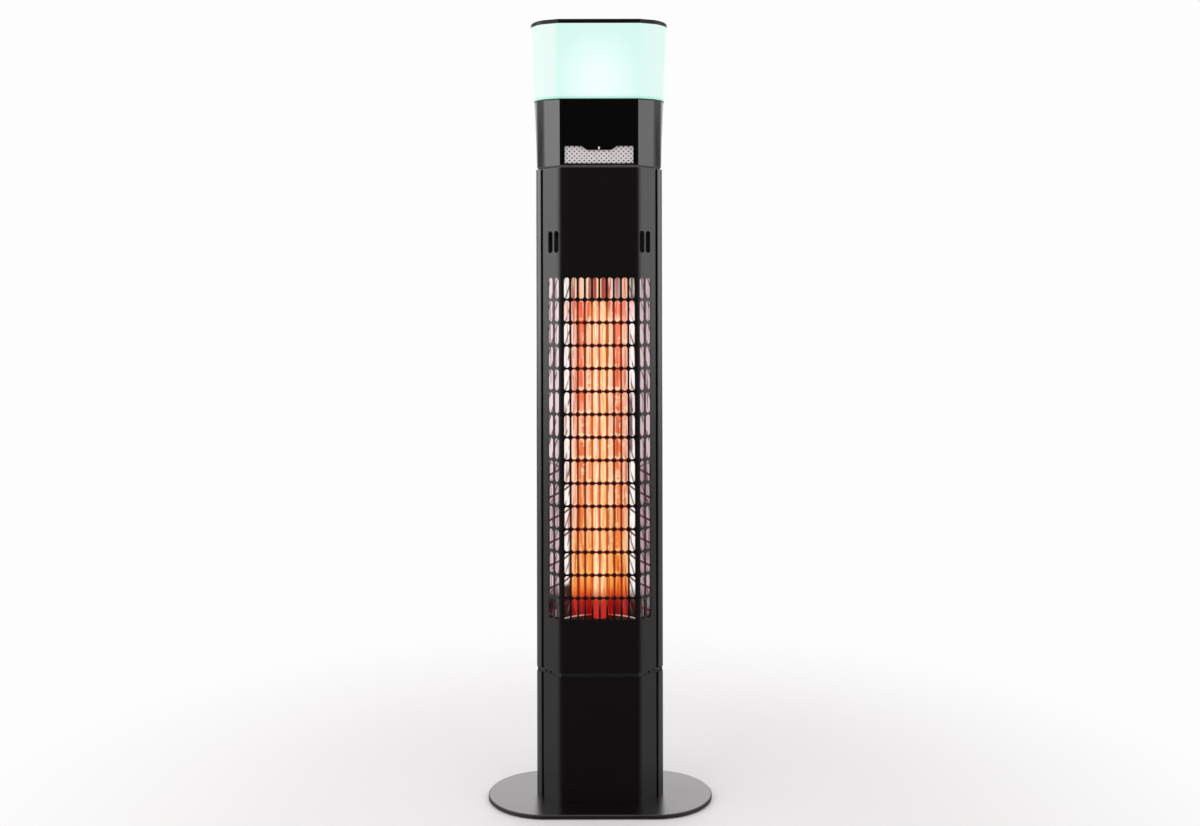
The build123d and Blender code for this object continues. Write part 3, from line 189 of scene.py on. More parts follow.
def rolled_folds(material, folds, facing, lean=0.0):
    """Shade the upright folds of a front face as soft bends. Each fold is given by where it starts and
    ends off the middle, its turn in degrees and the power of its run. A face is in front where the y of
    its normal is under the facing, and the lean is the z that its normal gets."""
    steepest = 0.4
    tree = material.node_tree
    x, _, _ = axes(tree)
    angle = 0.0
    for start, end, degrees, power in folds:
        bend = tree.nodes.new("ShaderNodeMapRange")
        settle(bend, {"From Min": start, "From Max": end})
        tree.links.new(sums(tree, "ABSOLUTE", x), bend.inputs["Value"])
        run = sums(tree, "POWER", bend.outputs["Result"], power)
        angle = sums(tree, "MULTIPLY_ADD", run, radians(degrees), angle)
    turned = tree.nodes.new("ShaderNodeCombineXYZ")
    tree.links.new(product(tree, sums(tree, "SINE", angle), sums(tree, "SIGN", x)), turned.inputs["X"])
    tree.links.new(product(tree, sums(tree, "COSINE", angle), -1.0), turned.inputs["Y"])
    turned.inputs["Z"].default_value = lean
    geometry = tree.nodes.new("ShaderNodeNewGeometry")
    faces = tree.nodes.new("ShaderNodeSeparateXYZ")
    tree.links.new(geometry.outputs["True Normal"], faces.inputs["Vector"])
    upright = sums(tree, "LESS_THAN", sums(tree, "ABSOLUTE", faces.outputs["Z"]), steepest)
    in_front = sums(tree, "LESS_THAN", faces.outputs["Y"], facing)
    choice = tree.nodes.new("ShaderNodeMix")
    choice.data_type = "VECTOR"
    tree.links.new(product(tree, in_front, upright), choice.inputs["Factor"])
    tree.links.new(geometry.outputs["Normal"], choice.inputs[4])
    tree.links.new(turned.outputs["Vector"], choice.inputs[5])
    bump = tree.nodes["Principled BSDF"].inputs["Normal"].links[0].from_node
    tree.links.new(choice.outputs[1], bump.inputs["Normal"])


satin_coat = surface("satin_coat", (0.0034, 0.0021, 0.002), (0.0058, 0.0038, 0.0036), 0.00035, (0.3, 0.34),
                     0.08, ior=1.6)
rolled_folds(satin_coat, [(0.0495, 0.0605, 45, 1.6)], -0.6)
rail_coat = surface("rail_coat", (0.0045, 0.004, 0.004), (0.008, 0.0072, 0.0072), 0.0006, (0.28, 0.34), 0.05,
                    ior=2.0, stretch=(1, 1, 0.05))
dress(satin_coat, "foot_front_panel", "foot_back_panel", "back_panel")
dress(rail_coat, "foot_rail_left", "foot_rail_right", "rail_left", "rail_right")


def start_shape():
    """Drop the selection, so that the next shape is worked on alone."""
    bpy.ops.object.select_all(action="DESELECT")


def choose(shape, kind, test):
    """Select the faces or edges of a shape that pass a test, and open it for editing."""
    bpy.ops.object.mode_set(mode="EDIT")
    bpy.ops.mesh.select_mode(type={"polygons": "FACE", "edges": "EDGE"}[kind])
    bpy.ops.mesh.select_all(action="DESELECT")
    bpy.ops.object.mode_set(mode="OBJECT")
    for element in getattr(shape.data, kind):
        element.select = test(element)
    bpy.ops.object.mode_set(mode="EDIT")


def join_shapes(shapes):
    """Join copies into the first of them."""
    start_shape()
    for shape in shapes:
        shape.select_set(True)
    bpy.context.view_layer.objects.active = shapes[0]
    bpy.ops.object.join()


def twin(shape):
    """Copy of a shape with a mesh of its own."""
    copy = shape.copy()
    copy.data = shape.data.copy()
    bpy.context.collection.objects.link(copy)
    return copy


def apply_all(shape):
    """Apply every modifier of a piece in order."""
    bpy.context.view_layer.objects.active = shape
    for modifier in list(shape.modifiers):
        bpy.ops.object.modifier_apply(modifier=modifier.name)


def close_shape(shape, name, material, body, slot, *nodes):
    """Name a finished piece, bake its place, give it its finish and hang it on its body."""
    start_shape()
    shape.select_set(True)
    bpy.context.view_layer.objects.active = shape
    bpy.ops.object.transform_apply(location=True, rotation=True, scale=True)
    shape.name = shape.data.name = name
    shape.data.materials.clear()
    shape.data.materials.append(material)
    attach(shape, body)
    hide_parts(*nodes)


def panel_screws(name, node, lower_spacing, upper_spacing):
    """Four pan-head screws with a cross recess, standing out of the back face in two rows."""
    head_radius, head_height, crown_inset, crown_round = 0.0035, 0.0022, 0.0012, 0.0009
    shank_radius, shank_length = 0.0018, 0.0047
    cross_reach, cross_width, cross_depth = 0.0038, 0.0008, 0.0013
    turn_step = 17
    low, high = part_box(node)
    face_y = high.y - head_height

    def on_rim(vertex):
        place = screw.data.vertices[vertex].co
        return place.z > head_height / 2 and place.xy.length > head_radius * 0.95

    start_shape()
    bpy.ops.mesh.primitive_cylinder_add(vertices=28, radius=head_radius, depth=head_height,
                                        location=(0, 0, head_height / 2))
    screw = bpy.context.object
    bpy.ops.object.transform_apply(location=True)
    choose(screw, "polygons", lambda face: face.normal.z > 0.9)
    bpy.ops.mesh.inset(thickness=crown_inset)
    choose(screw, "edges", lambda edge: all(on_rim(vertex) for vertex in edge.vertices))
    bpy.ops.mesh.bevel(offset=crown_round, segments=3)
    choose(screw, "polygons", lambda face: face.normal.z < -0.9)
    bpy.ops.mesh.inset(thickness=head_radius - shank_radius)
    bpy.ops.mesh.extrude_region_move(TRANSFORM_OT_translate={"value": (0, 0, -shank_length)})
    bpy.ops.object.mode_set(mode="OBJECT")
    cutters = []
    for turn in (0, 90):
        start_shape()
        bpy.ops.mesh.primitive_cube_add(size=1, location=(0, 0, head_height))
        cutter = bpy.context.object
        cutter.scale = (cross_reach, cross_width, 2 * cross_depth)
        cutter.rotation_euler = (0, 0, radians(turn))
        bpy.ops.object.transform_apply(location=True, rotation=True, scale=True)
        cut = screw.modifiers.new("cross", "BOOLEAN")
        cut.object = cutter
        cut.solver = "EXACT"
        cutters.append(cutter)
    apply_all(screw)
    for cutter in cutters:
        bpy.data.objects.remove(cutter)

    rows = ((lower_spacing, low.z + head_radius), (upper_spacing, high.z - head_radius))
    places = [(side * spacing / 2, z) for spacing, z in rows for side in (-1, 1)]
    screws = [screw] + [twin(screw) for _ in places[1:]]
    for number, (each, (x, z)) in enumerate(zip(screws, places)):
        each.rotation_euler = (radians(-90), radians(turn_step * number), 0)
        each.location = (x, face_y, z)
    join_shapes(screws)
    close_shape(screw, name, screw_steel, "tower", "screw_steel", node)


foot_screw_spacing, panel_screw_spacing = 0.056, 0.080
panel_screws("foot_panel_screws", "foot_screws", foot_screw_spacing, panel_screw_spacing)

# ---------------------------------------------------------------------- mains inlet, switch, foot electrics
# A nylon gland takes the mains lead in at the back. Above it sits a rocker switch in a moulded
# housing. Inside are a terminal block, a tilt switch and the loom that runs up the column.
nylon = surface("moulded_black", (0.010, 0.010, 0.010), (0.02, 0.02, 0.02), 0.0003, (0.42, 0.55), 0.15)
rocker_plastic = surface("rocker_black", (0.008, 0.008, 0.008), (0.014, 0.014, 0.014), 0.0002, (0.2, 0.28),
                         0.05)
connector_plastic = surface("connector_white", (0.62, 0.61, 0.57), (0.74, 0.73, 0.69), 0.0006, (0.35, 0.5),
                            0.1)
loom_sleeve = surface("loom_black", (0.012, 0.012, 0.013), (0.05, 0.05, 0.052), 0.0012, (0.5, 0.7), 0.5)
dress(nylon, "cable_gland", "gland_nut", "switch_housing", "tilt_switch")
dress(rocker_plastic, "rocker")
dress(connector_plastic, "terminal_block", "board_connector")
dress(loom_sleeve, "wiring_loom")

# The rocker is printed with a bar for on at its upper end and a ring for off at its lower end.
sign_offset, sign_paint = 0.0044, (0.5, 0.5, 0.48)
bar_width, bar_length = 0.0008, 0.0036
ring_radius, ring_width = 0.0016, 0.0007
rocker_low, rocker_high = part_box("rocker")
rocker_middle = (rocker_low.z + rocker_high.z) / 2
tree = rocker_plastic.node_tree
x, _, z = axes(tree)
bar_climb = sums(tree, "ABSOLUTE", sums(tree, "SUBTRACT", z, rocker_middle + sign_offset))
bar = product(tree, sums(tree, "LESS_THAN", sums(tree, "ABSOLUTE", x), bar_width / 2),
              sums(tree, "LESS_THAN", bar_climb, bar_length / 2))
ring_climb = sums(tree, "SUBTRACT", z, rocker_middle - sign_offset)
ring_reach = sums(tree, "SQRT", sums(tree, "ADD", product(tree, x, x), product(tree, ring_climb, ring_climb)))
ring = sums(tree, "COMPARE", ring_reach, ring_radius, ring_width / 2)
rocker_colour = tree.nodes["Principled BSDF"].inputs["Base Color"]
printed = mixed(tree, sums(tree, "MAXIMUM", bar, ring), rocker_colour.links[0].from_socket, sign_paint)
tree.links.new(printed, rocker_colour)

# ---------------------------------------------------------------------- joint collar
# A die-cast ring joins the foot and the body of the column. It is set back a millimetre, and
# three drilled vents show at each corner. Its coat is painted a little lighter than the sheet's, as a
# painted highlight of the light it catches from above.
collar_coat_highlit = surface("collar_coat_highlit", (0.009, 0.0085, 0.008), (0.014, 0.013, 0.0125), 0.0004, (0.34, 0.4), 0.1)
dress(collar_coat_highlit, "joint_collar")

# ---------------------------------------------------------------------- body: guard front and back panel
# The front is one folded sheet with 214 punched slots, coated as the foot is. Lit from behind, its
# bars pick up a red glow in front of the hot part of the lamp, which is a faint emission here.


def glow(material, colour, strength):
    """Let a finish give off light of a worked-out colour."""
    shader = material.node_tree.nodes["Principled BSDF"]
    shader.inputs["Emission Strength"].default_value = strength
    material.node_tree.links.new(colour, shader.inputs["Emission Color"])


guard_sill, slot_length, row_count = 0.0739, 0.0294, 15
row_pitch, column_pitch = 0.03216, 0.01015
half_bar = (row_pitch - slot_length) / 2
guard_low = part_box("front_panel")[0].z + guard_sill
guard_high = guard_low + (row_count - 1) * row_pitch + slot_length
hot_upright, warm_upright, level_bar = (0.62, 0.12, 0.025), (0.24, 0.024, 0.006), (0.16, 0.011, 0.003)

guard_coat = satin_coat.copy()
guard_coat.name = "guard_coat"
tree = guard_coat.node_tree
x, _, z = axes(tree)
reach = sums(tree, "ABSOLUTE", x)
in_width = fall(tree, reach, 0.034, 0.042)
in_height = product(tree, rise(tree, z, guard_low + 0.01, guard_low + 0.05),
                    fall(tree, z, guard_high - 0.05, guard_high - 0.025))
across = sums(tree, "ABSOLUTE", sums(tree, "COSINE", product(tree, x, pi / column_pitch)))
along = sums(tree, "PINGPONG", sums(tree, "SUBTRACT", z, guard_low - half_bar), row_pitch / 2)
on_row_bar = fall(tree, along, 0.0012, 0.0034)
knot = product(tree, rise(tree, across, 0.55, 0.95), on_row_bar)
lit = product(tree, in_width, in_height, sums(tree, "SUBTRACT", 1.0, knot))
upright_light = mixed(tree, rise(tree, reach, 0.008, 0.016), hot_upright, warm_upright)
bar_light = mixed(tree, on_row_bar, upright_light, level_bar)
glow(guard_coat, mixed(tree, lit, (0.0, 0.0, 0.0), bar_light), 1.0)
dress(guard_coat, "front_panel")

panel_screws("body_panel_screws", "body_screws", panel_screw_spacing, panel_screw_spacing)

# ---------------------------------------------------------------------- reflector and heat shield
# The reflector is polished aluminium, rolled to a trough behind the lamp with a flat wing at each
# side. The lamp's glow and reflections on it are painted as emission, in upright streaks, white towards
# the wings.


def ramp(tree, value, stops):
    """Colour ramp over a 0 to 1 value."""
    node = tree.nodes.new("ShaderNodeValToRGB")
    elements = node.color_ramp.elements
    elements[0].position, elements[0].color = stops[0][0], (*stops[0][1], 1)
    elements[1].position, elements[1].color = stops[-1][0], (*stops[-1][1], 1)
    for position, colour in stops[1:-1]:
        elements.new(position).color = (*colour, 1)
    tree.links.new(value, node.inputs["Fac"])
    return node.outputs["Color"]


def layer(tree, under, colour, *masks, blend="MIX"):
    """Colour laid over another by the product of its masks."""
    return mixed(tree, product(tree, *masks), under, colour, blend)


def stripes(tree, value, places):
    """Upright stripes, each from its place to the next one's in millimetres off the middle. The last
    entry only ends the list."""
    soft_edge, whole_width = 0.25, 2000 * glow_half
    stops = []
    for (start, colour), (end, _) in zip(places, places[1:]):
        for edge in (start + soft_edge, end - soft_edge):
            stops.append((edge / whole_width + 0.5, colour))
    return ramp(tree, value, stops)


glow_half = 0.052
lower_half, warm_range = (0.47, 0.49), (0.29, 0.58)
foot_range = (guard_low + 0.022, guard_low + 0.05)
top_range = (guard_high - 0.036, guard_high - 0.029)
orange, deep, peach, yellow = (0.95, 0.25, 0.08), (0.94, 0.165, 0.052), (0.95, 0.42, 0.27), (0.96, 0.6, 0.25)
cream, pink, white, grey = (0.98, 0.6, 0.4), (0.96, 0.66, 0.58), (1.0, 0.98, 0.99), (0.3, 0.25, 0.25)
rust, brown, ember = (0.45, 0.07, 0.015), (0.2, 0.05, 0.03), (0.04, 0.012, 0.014)
mauve, maroon, slate = (0.4, 0.13, 0.12), (0.33, 0.045, 0.03), (0.09, 0.1, 0.16)

mirror = surface("mirror_sheet", (0.07, 0.065, 0.065), (0.11, 0.1, 0.1), 0.02, (0.16, 0.24), 0.03,
                 metallic=1.0, stretch=(1, 1, 0.1))
tree = mirror.node_tree
x, _, z = axes(tree)
reach = sums(tree, "ABSOLUTE", x)
streaks = noise(tree, 0.0067, 3, (1, 1, 0.16))
glint_noise = noise(tree, 0.0095, 4)
threads = noise(tree, 0.0031, 2, (1, 1, 0.05))
thread_highlight = product(tree, rise(tree, threads, 0.55, 0.62), 0.55)
thread_shade = product(tree, fall(tree, threads, 0.37, 0.44), 0.75)

# The reflector lies behind the guard, so that its rows have to be a little taller to line up with the
# guard's from the camera. Each row's stripes are shifted by chance, and streaks make their edges sway.
row_growth, row_drop, row_sway, streak_sway = 1.0162, 0.0113, 0.0022, 0.0035
row_height = sums(tree, "MULTIPLY_ADD", z, 1 / row_growth, row_drop - guard_low + half_bar)
in_row = sums(tree, "FLOORED_MODULO", row_height, row_pitch)
dice = tree.nodes.new("ShaderNodeTexWhiteNoise")
dice.noise_dimensions = "1D"
tree.links.new(sums(tree, "FLOOR", sums(tree, "DIVIDE", row_height, row_pitch)), dice.inputs["W"])
chance = dice.outputs["Value"]
row_shift = product(tree, sums(tree, "SUBTRACT", chance, 0.5), row_sway)
wander = sums(tree, "MULTIPLY_ADD", sums(tree, "SUBTRACT", streaks, 0.5), streak_sway, row_shift)
place_across = sums(tree, "MULTIPLY_ADD", sums(tree, "ADD", x, wander), 1 / (2 * glow_half), 0.5)
main = stripes(tree, place_across, [
    (-51, white), (-42.6, grey), (-40.6, pink), (-35.2, peach), (-31, brown), (-29, deep), (-21.4, rust),
    (-19.5, cream), (-15, orange), (-11, yellow), (10, rust), (13, cream), (19.4, rust), (21.8, deep),
    (30.2, peach), (39.2, white), (51, white)])
top_row = stripes(tree, place_across, [
    (-51, white), (-43.2, ember), (-39.2, mauve), (-34.5, cream), (-30.4, brown), (-28, cream),
    (-20.6, ember), (-19, cream), (-15.2, mauve), (-10.6, maroon), (10, maroon), (13, pink), (19.6, mauve),
    (27.2, grey), (30.6, peach), (39.6, slate), (51, slate)])

# The painted glow in the trough has painted glints, bright feet to some rows, a warmer tone low down
# and a redder one high up. Its top row is painted dim.
in_trough = fall(tree, reach, 0.0385, 0.041)
glint = product(tree, rise(tree, glint_noise, 0.54, 0.66), rise(tree, streaks, 0.42, 0.56))
glinting = layer(tree, main, (1.0, 0.8, 0.5), glint, 0.8)
bright_foot = product(tree, fall(tree, in_row, 0.005, 0.0085), rise(tree, glint_noise, 0.44, 0.5),
                      fall(tree, reach, 0.033, 0.037), rise(tree, chance, 0.25, 0.5))
footed = layer(tree, glinting, (1.0, 0.84, 0.55), bright_foot, 0.8)
warmer = layer(tree, footed, (0.98, 0.4, 0.06), fall(tree, z, *warm_range), 0.45, in_trough)
near_top = rise(tree, z, guard_high - 0.075, guard_high - 0.036)
redder = layer(tree, warmer, (1.0, 0.5, 0.48), near_top, 0.8, blend="MULTIPLY")
topped = mixed(tree, rise(tree, z, *top_range), redder, top_row)

# Fine threads of painted highlight and painted shade run up it. The painted glow turns golden towards
# the foot and dies out there in crimson.
threaded = layer(tree, topped, (1.0, 0.78, 0.5), thread_highlight)
threaded = layer(tree, threaded, (0.5, 0.06, 0.012), thread_shade)
for amber, amber_range in (((1.0, 0.86, 0.5), (0.31, 0.42)), ((1.0, 0.7, 0.35), (0.3, 0.325))):
    threaded = layer(tree, threaded, amber, fall(tree, z, *amber_range), in_trough, blend="MULTIPLY")
crimson_height = 0.05
crimson_climb = sums(tree, "DIVIDE", sums(tree, "SUBTRACT", z, guard_low), crimson_height)
crimson = ramp(tree, crimson_climb, [
    (0.0, (0.17, 0.003, 0.002)), (0.4, (0.34, 0.006, 0.005)), (0.7, (0.7, 0.035, 0.01)),
    (1.0, (0.95, 0.16, 0.03))])
crimson = layer(tree, crimson, (0.75, 0.025, 0.015), thread_highlight)
crimson = layer(tree, crimson, (0.1, 0.003, 0.003), thread_shade)
at_foot = fall(tree, z, *foot_range)
trough = mixed(tree, at_foot, threaded, mixed(tree, in_trough, (0.012, 0.006, 0.005), crimson))

# Painted shade darkens the trough's left edge in its lowest two rows, and its right edge in a band half
# way up.
left_edge_shade = product(tree, fall(tree, x, -0.0405, -0.0395),
                    fall(tree, row_height, 2 * row_pitch - 0.012, 2 * row_pitch - 0.004))
trough = layer(tree, trough, (0.02, 0.01, 0.008), left_edge_shade)
right_edge_shade = product(tree, rise(tree, z, 0.486, 0.5), fall(tree, z, 0.565, 0.585),
                     rise(tree, x, 0.04, 0.041), fall(tree, x, 0.0455, 0.0475))
trough = layer(tree, trough, (0.1, 0.03, 0.05), right_edge_shade, 0.9)

# The wings carry painted reflection, pale, painted lighter on the left and darker on the right, with a
# painted dark seam above and a painted dark outer edge below.
wing_start, wing_width = 0.051, 0.025
wing_place = sums(tree, "DIVIDE", sums(tree, "SUBTRACT", reach, wing_start), wing_width)
wing_high = ramp(tree, wing_place, [
    (0.0, (0.74, 0.64, 0.66)), (0.46, (0.7, 0.59, 0.62)), (0.48, (0.16, 0.11, 0.12)),
    (0.57, (0.18, 0.13, 0.14)), (0.6, (0.84, 0.74, 0.75)), (1.0, (0.74, 0.64, 0.66))])
wing_low = ramp(tree, wing_place, [
    (0.0, (0.6, 0.47, 0.52)), (0.47, (0.52, 0.4, 0.45)), (0.5, (0.72, 0.63, 0.63)),
    (0.75, (0.66, 0.57, 0.57)), (0.82, (0.06, 0.02, 0.024)), (1.0, (0.05, 0.016, 0.02))])
wing = mixed(tree, rise(tree, z, *lower_half), wing_low, wing_high)
wing = layer(tree, wing, (0.2, 0.13, 0.15), thread_shade)
lit_left_wing = mixed(tree, 1.0, wing, (1.14, 1.04, 1.04), "MULTIPLY")
shaded_right_wing = mixed(tree, 1.0, wing, (0.88, 0.76, 0.77), "MULTIPLY")
wing = mixed(tree, rise(tree, x, -0.02, 0.02), lit_left_wing, shaded_right_wing)
# At the foot the wings are painted dark, with threads of painted highlight.
foot_wing = layer(tree, (0.03, 0.01, 0.01), (0.5, 0.4, 0.4), thread_highlight)
wing = mixed(tree, at_foot, wing, foot_wing)
sheet = mixed(tree, rise(tree, reach, wing_start, wing_start + 0.0015), trough, wing)

# In the lower half, the sides carry a painted reflection of the guard's rows as thin slanting lines.
# Steep crease lines of painted shade run all the way up. The rim of the end plate shows at the foot in
# painted glow.
line_rise, line_slant, crease_slope, crease_spacing = 0.0076, 0.65, 3.2, 0.016
below_half = fall(tree, z, *lower_half)
slant = product(tree, below_half, line_slant, reach)
climb = sums(tree, "ADD", sums(tree, "ADD", z, line_rise), slant)
line = product(tree, fall(tree, sums(tree, "PINGPONG", climb, row_pitch / 2), 0.001, 0.0024),
               rise(tree, reach, 0.041, 0.044), below_half)
lined = layer(tree, sheet, (0.08, 0.01, 0.017), line, 0.95)
steep = sums(tree, "MULTIPLY_ADD", reach, crease_slope, sums(tree, "ADD", z, wander))
crease_shade = product(tree, fall(tree, sums(tree, "PINGPONG", steep, crease_spacing), 0.002, 0.005),
                 rise(tree, streaks, 0.4, 0.48), rise(tree, reach, 0.0405, 0.042))
crease_shaded = layer(tree, lined, (0.1, 0.06, 0.065), crease_shade, 0.85)
rim_glow = mixed(tree, rise(tree, reach, 0.014, 0.03), (0.7, 0.03, 0.02), (0.62, 0.36, 0.36))
end_rim = product(tree, fall(tree, z, 0.2627, 0.2633), fall(tree, reach, 0.0505, 0.052))
shown = mixed(tree, end_rim, crease_shaded, rim_glow)
glow(mirror, shown, 0.93)
dress(mirror, "reflector")

shield_steel = surface("shield_steel", (0.45, 0.45, 0.44), (0.6, 0.6, 0.59), 0.006, (0.35, 0.5), 0.05,
                       metallic=1.0)
stoved_black = surface("stoved_black", (0.006, 0.004, 0.004), (0.014, 0.01, 0.009), 0.0005, (0.5, 0.65), 0.2)
dress(shield_steel, "heat_shield")
dress(stoved_black, "reflector_end_bottom", "reflector_end_top")

# ---------------------------------------------------------------------- infrared lamp
# A quartz tube in steatite end caps holds a coiled resistance wire, red at its ends, yellow between.
# The caps sit in ceramic holders outside the end plates, with a thermal cut-out on the shield.
tube_low, tube_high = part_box("quartz_tube")
tube_y = (tube_low.y + tube_high.y) / 2
coil_radius, wire_radius, coil_margin = 0.0048, 0.0006, 0.012
coil_turns, turn_steps, wire_sides = 84, 14, 6

hot_wire, tree, _ = blank("hot_filament", {"Base Color": (0.12, 0.03, 0.02, 1), "Roughness": 0.5})
_, _, z = axes(tree)
heat = product(tree, rise(tree, z, guard_low, guard_low + 0.04),
               fall(tree, z, guard_high - 0.045, guard_high - 0.01))
wire_glow = ramp(tree, heat, [(0.0, (0.35, 0.006, 0.008)), (0.5, (1.0, 0.12, 0.01)), (1.0, (1.0, 0.62, 0.2))])
glow(hot_wire, wire_glow, 1.1)

start_shape()
bpy.ops.mesh.primitive_circle_add(vertices=wire_sides, radius=wire_radius, location=(coil_radius, 0, 0),
                                  rotation=(radians(90), 0, 0))
coil = bpy.context.object
bpy.ops.object.transform_apply(location=True, rotation=True)
turns = coil.modifiers.new("turns", "SCREW")
turns.axis = "Z"
turns.angle = 2 * pi
turns.screw_offset = (tube_high.z - tube_low.z - 2 * coil_margin) / coil_turns
turns.iterations = coil_turns
turns.steps = turns.render_steps = turn_steps
turns.use_merge_vertices = True
apply_all(coil)
bpy.ops.object.mode_set(mode="EDIT")
bpy.ops.mesh.select_all(action="SELECT")
bpy.ops.mesh.fill_holes(sides=wire_sides)
bpy.ops.mesh.select_all(action="SELECT")
bpy.ops.mesh.normals_make_consistent(inside=False)
bpy.ops.object.mode_set(mode="OBJECT")
coil.location = (0, tube_y, tube_low.z + coil_margin)
bpy.ops.object.shade_smooth()
close_shape(coil, "heating_coil", hot_wire, "tower", "hot_filament", "heating_element")

# A real tube is clear. Here what shines through it is laid on it in bands, as on the reflector.
quartz, tree, _ = blank("quartz", {"Base Color": (0.08, 0.04, 0.03, 1), "Roughness": 0.08, "Alpha": 0.8})
x, _, z = axes(tree)
across = sums(tree, "MULTIPLY_ADD", x, 1 / (2 * glow_half), 0.5)
gold, straw = (0.96, 0.52, 0.19), (0.82, 0.6, 0.27)
bands = stripes(tree, across, [(-12, gold), (-5.6, white), (-4.2, peach), (-0.6, rust), (1.2, gold),
                               (2.4, cream), (3.6, straw), (6.6, yellow), (12, yellow)])
top_bands = stripes(tree, across, [(-12, maroon), (-3.8, cream), (-0.6, ember), (1.2, cream), (2.8, maroon),
                                   (12, maroon)])
glint_noise = noise(tree, 0.0083, 2)
threads = noise(tree, 0.0027, 2, (1, 1, 0.06))
bands = layer(tree, bands, (1.0, 0.8, 0.5), rise(tree, glint_noise, 0.5, 0.66), 0.5)
bands = layer(tree, bands, (1.0, 0.42, 0.06), fall(tree, z, *warm_range), 0.4)
bands = layer(tree, bands, (1.0, 0.88, 0.6), rise(tree, threads, 0.54, 0.61), 0.7)
bands = layer(tree, bands, (0.75, 0.2, 0.03), fall(tree, threads, 0.38, 0.45), 0.7)
bands = layer(tree, bands, (0.5, 0.012, 0.01), fall(tree, z, *foot_range))
bands = mixed(tree, rise(tree, z, *top_range), bands, top_bands)
glow(quartz, bands, 1.0)
dress(quartz, "quartz_tube")

steatite = surface("steatite", (0.68, 0.64, 0.56), (0.8, 0.77, 0.7), 0.0008, (0.45, 0.6), 0.15)
dress(steatite, "tube_cap_bottom", "tube_cap_top", "lamp_holder_bottom", "lamp_holder_top")
dress(nylon, "thermal_cutout")

# ---------------------------------------------------------------------- control electronics
# A folded steel tray behind the vents carries the control board, with relays, a transformer,
# a connector and a finned aluminium heat sink.
solder_mask = surface("circuit_green", (0.008, 0.07, 0.03), (0.02, 0.13, 0.055), 0.0016, (0.25, 0.4), 0.12)
component_case = surface("component_dark", (0.012, 0.014, 0.02), (0.03, 0.034, 0.045), 0.0005, (0.3, 0.45),
                         0.1)
fin_metal = surface("heat_sink_alu", (0.5, 0.51, 0.52), (0.66, 0.67, 0.68), 0.0012, (0.3, 0.42), 0.08,
                    metallic=1.0, stretch=(1, 1, 0.1))
dress(zinc, "control_tray")
dress(solder_mask, "control_board", "amplifier_board", "button_board")
dress(component_case, "board_components")
dress(fin_metal, "heat_sink")

# ---------------------------------------------------------------------- head
# The head is a moulded shell that flares from the column's section to the lamp's. It stands on a
# bevelled base. Behind the front window two small speakers sit on a baffle.
head_plastic = surface("head_black", (0.0012, 0.0012, 0.0012), (0.0025, 0.0025, 0.0024), 0.0003, (0.19, 0.23),
                       0.06, ior=1.7)
rolled_folds(head_plastic, [(0.0548, 0.0554, 45, 1.0), (0.0735, 0.0915, 44, 1.25)], -0.05, -0.035)
speaker_paper = surface("speaker_black", (0.01, 0.01, 0.01), (0.03, 0.03, 0.03), 0.0005, (0.6, 0.8), 0.3)
base_trim = surface("base_trim", (0.1, 0.093, 0.093), (0.14, 0.13, 0.13), 0.0003, (0.36, 0.44), 0.08)
lens = surface("lens_clear", (0.6, 0.58, 0.58), (0.75, 0.73, 0.73), 0.0008, (0.1, 0.2), 0.05)
dress(head_plastic, "head_shell", "speaker_baffle", "receiver_pod", "button_bezel")
dress(base_trim, "head_base")
dress(speaker_paper, "speaker_left", "speaker_right")
dress(lens, "receiver_lens")

# The speaker mesh is flattened expanded steel, bright silver, with diamond openings in staggered
# rows. Its strands stand in low ridges, and its sides are cut just beside the crossings.
mesh_low, mesh_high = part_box("speaker_mesh")
cell_width, cell_height, half_strand, ridge = 0.0069, 0.0064, 0.00138, 0.00025
columns, rows, columns_kept, seam = 17, 5, 14, 0.00002
beside_crossing, frame_overlap = 0.00003, 0.0015
half_width = columns_kept / 2 * cell_width - beside_crossing
half_height = (mesh_high.z - mesh_low.z) / 2 - frame_overlap
start_shape()
bpy.ops.mesh.primitive_circle_add(vertices=4, radius=1, fill_type="NGON")
lattice = bpy.context.object
lattice.scale = (cell_width / 2, cell_height / 2, 1)
bpy.ops.object.transform_apply(location=True, rotation=True, scale=True)
bpy.ops.object.mode_set(mode="EDIT")
bpy.ops.mesh.select_all(action="SELECT")
bpy.ops.mesh.inset(thickness=half_strand, depth=-ridge)
bpy.ops.mesh.delete(type="FACE")
bpy.ops.object.mode_set(mode="OBJECT")
staggered = twin(lattice)
staggered.location = (cell_width / 2, cell_height / 2, 0)
join_shapes([lattice, staggered])
for count, step in ((columns, (cell_width, 0, 0)), (rows, (0, cell_height, 0))):
    repeat = lattice.modifiers.new("repeat", "ARRAY")
    repeat.count = count
    repeat.use_relative_offset = False
    repeat.use_constant_offset = True
    repeat.constant_offset_displace = step
    repeat.use_merge_vertices = True
    repeat.merge_threshold = seam
apply_all(lattice)
bpy.ops.object.mode_set(mode="EDIT")
bpy.ops.mesh.select_all(action="SELECT")
bpy.ops.mesh.remove_doubles(threshold=seam)
bpy.ops.object.mode_set(mode="OBJECT")
lattice.location = (-(columns - 1) / 2 * cell_width, -(rows / 2 - 0.25) * cell_height, 0)
bpy.ops.object.transform_apply(location=True)
cut_tolerance = 0.000001
for outward, reach in (((1, 0, 0), half_width), ((-1, 0, 0), half_width), ((0, 1, 0), half_height),
                       ((0, -1, 0), half_height)):
    bpy.ops.object.mode_set(mode="EDIT")
    bpy.ops.mesh.select_all(action="SELECT")
    bpy.ops.mesh.bisect(plane_co=Vector(outward) * reach, plane_no=outward, clear_outer=True,
                        threshold=cut_tolerance)
    bpy.ops.object.mode_set(mode="OBJECT")
